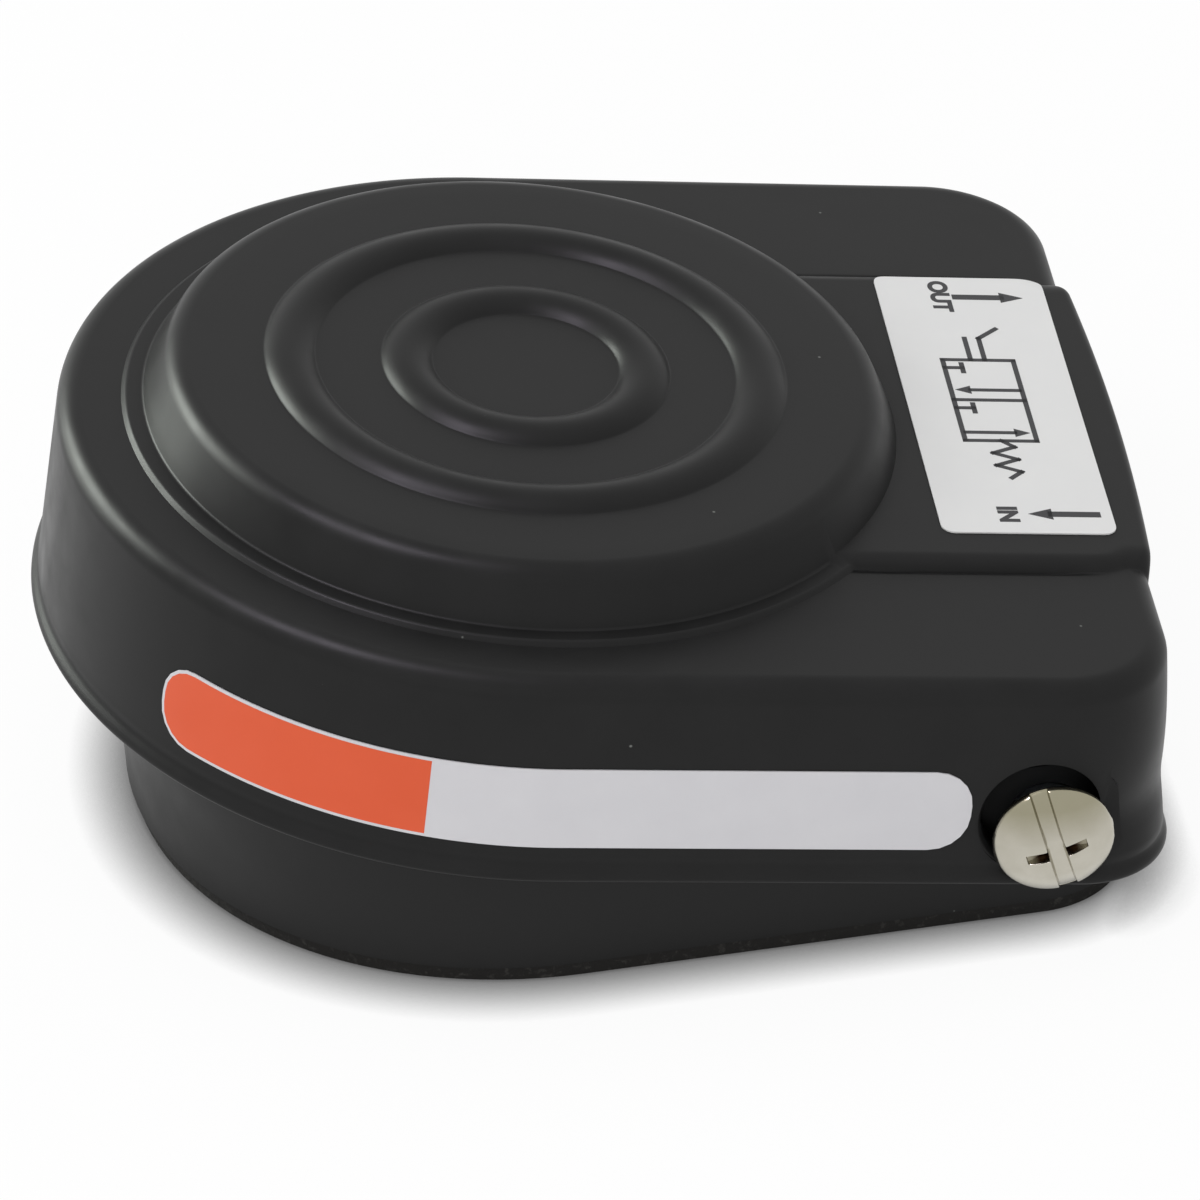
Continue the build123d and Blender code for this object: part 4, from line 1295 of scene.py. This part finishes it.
@dataclass
class CoilSpring:
    """Round-wire spring with closed end coils."""

    node: str
    radius: float
    wire: float
    turns: float
    travel: float = 0.0
    closed: float = 0.9
    steps: int = 26
    sides: int = 12

    def coil(self) -> bpy.types.Object:
        """Tube along the coil, with a tip at both ends, in the space of the CAD node.

        The height grows by a little more than the wire's thickness a turn in the end coils. Between them
        it grows faster, by what is left, and the change is smooth.
        """
        low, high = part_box(self.node)
        x, y = (low.x + high.x) / 2 / MM, (low.y + high.y) / 2 / MM
        bottom, top = low.z / MM + self.wire / 2, high.z / MM - self.wire / 2
        turn = np.linspace(0, self.turns, int(self.turns * self.steps) + 1)
        last = self.turns - self.closed
        open_coil = smooth_step(turn, self.closed - 0.3, self.closed + 0.3)
        open_coil = open_coil * (1 - smooth_step(turn, last - 0.3, last + 0.3))
        grown = np.concatenate([[0.0], np.cumsum(open_coil[1:] + open_coil[:-1])])
        rise = 1.04 * self.wire
        height = bottom + rise * turn + (top - bottom - rise * self.turns) * grown / grown[-1]
        angle = 2 * math.pi * turn
        outward = np.stack([np.cos(angle), np.sin(angle), np.zeros_like(angle)], -1)
        line = np.stack([x + self.radius * np.cos(angle), y + self.radius * np.sin(angle), height], -1)
        along = np.gradient(line, axis=0)
        along = along / np.linalg.norm(along, axis=1, keepdims=True)
        outward = outward - (outward * along).sum(1, keepdims=True) * along
        across = np.cross(along, outward)
        around = np.linspace(0, 2 * math.pi, self.sides, endpoint=False)[None, :, None]
        rings = np.cos(around) * outward[:, None] - np.sin(around) * across[:, None]
        rows = line[:, None] + self.wire / 2 * rings
        return closed_surface(self.node + "_coil", rows, line[0], line[-1], 60.0)

    def build(self, material: bpy.types.Material) -> None:
        """Make the spring and dress it.

        A spring with a travel rides on the base with its own mesh. One without a travel is fixed where it is
        built, between the base and the treadle.
        """
        piece = self.coil()
        dress(piece, material)
        if self.travel:
            place(piece, "base", [self.node])
            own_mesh(piece)
            return
        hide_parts(self.node)
        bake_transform(piece)
        LOG.info("%s: %d faces between base and treadle", piece.name, len(piece.data.polygons))


@dataclass
class Film:
    """Thin rectangular film with rounded corners, as a grid of shares of its length and places across."""

    length: float
    width: float
    corner: float

    def grid(self, inset: float = 0.0, steps: tuple[int, int] = (60, 26)) -> tuple[np.ndarray, np.ndarray]:
        """Places along and across the film, from its middle.

        Each line along is shorter near the long edges, by the corner's arc.

        Args:
            inset: Distance inside the film's outline.
            steps: Points along and across.

        Returns:
            Places along and places across, one row for each step along.
        """
        corner = self.corner - inset
        half = self.width / 2 - inset
        turn = np.linspace(0, math.pi / 2, 6)
        end = half - corner + corner * np.sin(turn)
        across = np.concatenate([-end[::-1], np.linspace(-end[0], end[0], steps[1])[1:-1], end])
        past = np.clip(np.abs(across) - half + corner, 0, corner)
        reach = self.length / 2 - inset - corner + np.sqrt(corner ** 2 - past ** 2)
        along = np.linspace(-1, 1, steps[0])[:, None] * reach[None]
        return along, np.broadcast_to(across, along.shape)


@dataclass
class TopLabel:
    """White film on the raised strip, with flow arrows, the words at the ports and a valve symbol."""

    cover: TreadleCover
    film: Film = field(default_factory=lambda: Film(41.9, 15.9, 1.2))
    middle: tuple[float, float] = (-1.8, 43.45)
    thickness: float = 0.14
    sunk: float = 0.05
    ink: float = 0.02
    line: float = 0.48
    bar: float = 0.82
    boldness: float = 0.07
    out_word: tuple[float, float] = (-19.3, 41.3)
    in_word: tuple[float, float] = (16.3, 41.8)
    word_height: float = 1.75
    out_arrow: tuple[tuple[float, float], tuple[float, float]] = ((-19.2, 42.9), (-19.2, 49.2))
    in_arrow: tuple[tuple[float, float], tuple[float, float]] = ((16.2, 49.9), (16.2, 43.7))
    arrow_head: tuple[float, float] = (2.2, 1.7)
    symbol: tuple[float, float] = (-2.0, 43.2)
    cell: float = 6.6

    def on_strip(self, flat: np.ndarray, lift: float) -> np.ndarray:
        """Points at a height over the treadle's surface, in the row frame."""
        height = self.cover.strip_rise(flat) + lift
        return self.cover.to_row(np.concatenate([flat, height[..., None]], -1))

    def sheet(self) -> Shape:
        """The film itself, laid over the strip."""
        along, across = self.film.grid()
        flat = np.stack([along + self.middle[0], across + self.middle[1]], -1)
        return closed_patch(self.on_strip(flat, self.thickness), self.on_strip(flat, -self.sunk))

    def arrow(self, tail: tuple[float, float], tip: tuple[float, float]) -> list[np.ndarray]:
        """Outlines of an arrow's bar and head."""
        a, b = np.asarray(tail), np.asarray(tip)
        along = (b - a) / np.linalg.norm(b - a)
        across = np.array([-along[1], along[0]])
        length, width = self.arrow_head
        neck = b - along * length
        head = np.array([neck - across * width / 2, b, neck + across * width / 2])
        return [stroke(tail, tuple(neck), self.bar), head]

    def valve_symbol(self) -> list[np.ndarray]:
        """Outlines of the sign for a three-way valve with two cells, a pedal and a spring."""
        x, y = self.symbol
        c = self.cell
        h = c / 2
        lines = [((x + i * c, y - h), (x + i * c, y + h)) for i in (-1, 0, 1)]
        lines += [((x - c, y + j * h), (x + c, y + j * h)) for j in (-1, 1)]
        for start in (x - 0.8 * c, x + 0.2 * c):
            lines += [((start, y - h), (start, y - h + 0.25 * c)),
                      ((start - 0.1 * c, y - h + 0.25 * c), (start + 0.1 * c, y - h + 0.25 * c))]
        teeth = np.linspace(0, 0.9 * c, 7)
        heights = np.array([0, 1, -1, 1, -1, 1, 0]) * 0.16 * c
        spring = np.column_stack([x + c + teeth, y + heights])
        lines += [(tuple(p), tuple(q)) for p, q in zip(spring, spring[1:])]
        pedal = [(x - c, y + 0.1 * c), (x - 1.55 * c, y + 0.1 * c), (x - 1.8 * c, y + 0.38 * c)]
        lines += list(zip(pedal, pedal[1:]))
        lines.append(((x - c, y - 0.1 * c), (x - 1.55 * c, y - 0.1 * c)))
        outlines = [stroke(p, q, self.line) for p, q in lines]
        for tail, tip in (((x - 0.25 * c, y + 0.46 * c), (x - 0.25 * c, y - 0.44 * c)),
                          ((x + 0.8 * c, y - 0.46 * c), (x + 0.8 * c, y + 0.44 * c))):
            along = np.sign(tip[1] - tail[1]) * 0.22 * c
            outlines += [stroke(tail, (tip[0], tip[1] - along), self.line),
                         np.array([(tip[0] - along / 2.2, tip[1] - along), tip, (tip[0] + along / 2.2,
                                                                                 tip[1] - along)])]
        return outlines

    def print_marks(self) -> Shape:
        """All the ink as thin raised shapes on the film."""
        shapes = self.arrow(*self.out_arrow) + self.arrow(*self.in_arrow) + self.valve_symbol()
        parts = []
        for outline in shapes:
            a, b, c = outline[:3]
            turn = (b[0] - a[0]) * (c[1] - b[1]) - (b[1] - a[1]) * (c[0] - b[0])
            points, faces = prism(outline if turn > 0 else outline[::-1], -self.ink, self.ink)
            parts.append((points, faces))
        for text, place_uv in (("OUT", self.out_word), ("IN", self.in_word)):
            points, faces = lettering(text, self.word_height, self.boldness, 2 * self.ink)
            parts.append((points + (*place_uv, 0), faces))
        points, faces = joined(parts)
        lift = self.thickness + points[:, 2]
        return self.on_strip(points[:, :2], lift), faces

    def build(self, film: bpy.types.Material, ink: bpy.types.Material) -> None:
        """Make the film and its ink."""
        sheet = new_piece("top_label_film", *self.sheet(), 40.0)
        dress(sheet, film)
        place(sheet, "treadle", ["top_label"])
        marks = new_piece("top_label_ink", *self.print_marks(), 20.0)
        dress(marks, ink)
        place(marks, "treadle")


@dataclass
class SideFilm:
    """Film wrapped on the left side of the skirt: off-white, with an orange field at its front."""

    cover: TreadleCover
    depths: tuple[float, float] = (8.6, 16.7)
    front: float = -37.8
    rear: float = 36.1
    split: float = -11.4
    corner: float = 3.5
    thickness: float = 0.12
    sunk: float = 0.05
    border: float = 0.3
    ink: float = 0.02

    def on_skirt(self, along: np.ndarray, depth: np.ndarray, lift: float) -> np.ndarray:
        """Points over the skirt, in the row frame.

        The place along is a length from the end of the round front: backwards along the straight side,
        and forwards as an arc round the toe centre.
        """
        radius = self.cover.toe_radius + self.cover.wall_offset(depth, self.cover.skirt_draft) + lift
        angle = np.minimum(along, 0) / self.cover.toe_radius
        flat = np.stack([radius * np.cos(angle), radius * np.sin(angle) + np.maximum(along, 0), -depth], -1)
        return self.cover.to_row(flat)

    def sheet(self, inset: float, rear: float, low: float, high: float) -> Shape:
        """Closed film from its front end to a rear line, between two lifts over the skirt.

        Args:
            inset: Distance inside the film's outline.
            rear: Place along the skirt where the sheet ends.
            low: Lift of its inner face.
            high: Lift of its outer face.

        Returns:
            Vertices and faces.
        """
        upper, lower = self.depths
        film = Film(self.rear - self.front, lower - upper, self.corner)
        along, across = film.grid(inset, (120, 14))
        along = np.minimum(along + (self.front + self.rear) / 2, rear)
        if rear < self.rear:
            start = along[0]
            along = start + np.linspace(0, 1, len(along))[:, None] * (rear - start)
        depth = (upper + lower) / 2 - across
        return closed_patch(self.on_skirt(along, depth, high), self.on_skirt(along, depth, low))

    def build(self, film: bpy.types.Material, ink: bpy.types.Material) -> None:
        """Make the off-white film and the orange field on it."""
        sheet = new_piece("side_film", *self.sheet(0.0, self.rear, -self.sunk, self.thickness), 40.0)
        dress(sheet, film)
        place(sheet, "treadle", ["side_decal"])
        field_top = self.thickness + self.ink
        colour = new_piece("side_film_field", *self.sheet(self.border, self.split, 0.0, field_top), 40.0)
        dress(colour, ink)
        place(colour, "treadle")


COVER_PLASTIC = DustyPlasticWithPaintedShade("treadle_moulded_plastic", "#1b1b1b", "#212121", 0.36, specular=0.13,
                             grain=0.22, grain_depth=0.003)
BASE_PLASTIC = DustyPlasticWithPaintedShade("base_moulded_plastic", "#1c1c1c", "#222222", 0.46, specular=0.16, grain=0.3)
PAD_RUBBER = SheetRubber("cut_sheet_rubber", "#1b1a19", "#242322", 0.8, specular=0.2, grain_depth=0.12,
                         bloom="#343331")
SEAL_RUBBER = SheetRubber("moulded_seal_rubber", "#181818", "#202020", 0.55, specular=0.3,
                          grain_depth=0.004, bloom="#262626")
NICKEL = RecessedPlate("bright_nickel_plate", "#c4c0b5", "#b0ac9e", 0.2, metallic=1.0, grain=0.5,
                       grain_depth=0.002, mottle=2.5)
ZINC = MachinedMetal("bright_zinc_plate", "#b9bdc2", "#9fa6ac", 0.3, metallic=1.0, grain_depth=0.003)
ALUMINIUM = MachinedMetal("machined_aluminium", "#b6b8ba", "#a7a9ab", 0.36, metallic=1.0, grain_depth=0.006)
BRASS = MachinedMetal("turned_brass", "#c09a5b", "#a98445", 0.28, metallic=1.0, grain_depth=0.004)
STAINLESS = MachinedMetal("ground_stainless_steel", "#b4b3b0", "#9d9c99", 0.25, metallic=1.0,
                          grain_depth=0.002)
SPRING_WIRE = MachinedMetal("drawn_spring_wire", "#8f8f8e", "#77777a", 0.3, metallic=1.0,
                            grain_depth=0.003)
CLIP_STEEL = MachinedMetal("oiled_clip_steel", "#6f7074", "#5d5e63", 0.34, metallic=1.0,
                           grain_depth=0.003)
LABEL_FILM = Finish("white_label_film", "#e6e6e5", "#e0e0e0", 0.4, grain=0.5, grain_depth=0.002)
DARK_INK = Finish("dark_grey_ink", "#1c1c1f", "#252528", 0.5, grain=0.2, grain_depth=0.001)
SIDE_FILM = Finish("off_white_film", "#cfced1", "#c6c5c9", 0.4, grain=0.5, grain_depth=0.002)
ORANGE_INK = Finish("orange_ink", "#db5a35", "#d55530", 0.45, specular=0.3, grain=0.5, grain_depth=0.001)

SPRINGS = (
    CoilSpring("stem_spring", 3.0, 0.7, 4.5, travel=2.435),
    CoilSpring("poppet_spring", 2.75, 0.45, 4.5, travel=1.885),
    CoilSpring("return_spring", 5.4, 1.2, 8.0),
)
CAD_FINISHES = (
    (BASE_PLASTIC, ("base_pan",)),
    (PAD_RUBBER, ("non_slip_pad",)),
    (ZINC, ("pivot_sleeve_left", "pivot_sleeve_right", "pivot_nut_left", "pivot_nut_right", "valve_screws",
            "actuator_button")),
    (ALUMINIUM, ("valve_body",)),
    (BRASS, ("valve_bonnet", "bottom_plug", "poppet")),
    (SEAL_RUBBER, ("bonnet_ring", "stem_ring", "plug_ring", "poppet_seal", "stop_bumper")),
    (CLIP_STEEL, ("stem_clip",)),
    (STAINLESS, ("valve_stem",)),
)


def main() -> None:
    """Build the studio and each sub-assembly in order, and report the pieces."""
    logging.basicConfig(level=logging.INFO, format="%(name)s %(message)s", force=True)
    Studio().build()
    cover = TreadleCover()
    cover.build(COVER_PLASTIC.material())
    nickel = NICKEL.material()
    for side, name, turn in ((1, "pivot_screw_left", 12.0), (-1, "pivot_screw_right", -31.0)):
        PivotScrew(side, name, turn).build(nickel)
    TopLabel(cover).build(LABEL_FILM.material(), DARK_INK.material())
    SideFilm(cover).build(SIDE_FILM.material(), ORANGE_INK.material())
    wire = SPRING_WIRE.material()
    for spring in SPRINGS:
        spring.build(wire)
    for finish, names in CAD_FINISHES:
        material = finish.material()
        for name in names:
            dress(frame["nodes"][name], material)
            LOG.info("%s: carried over as %s", name, finish.name)


if __name__ == "__main__":
    main()
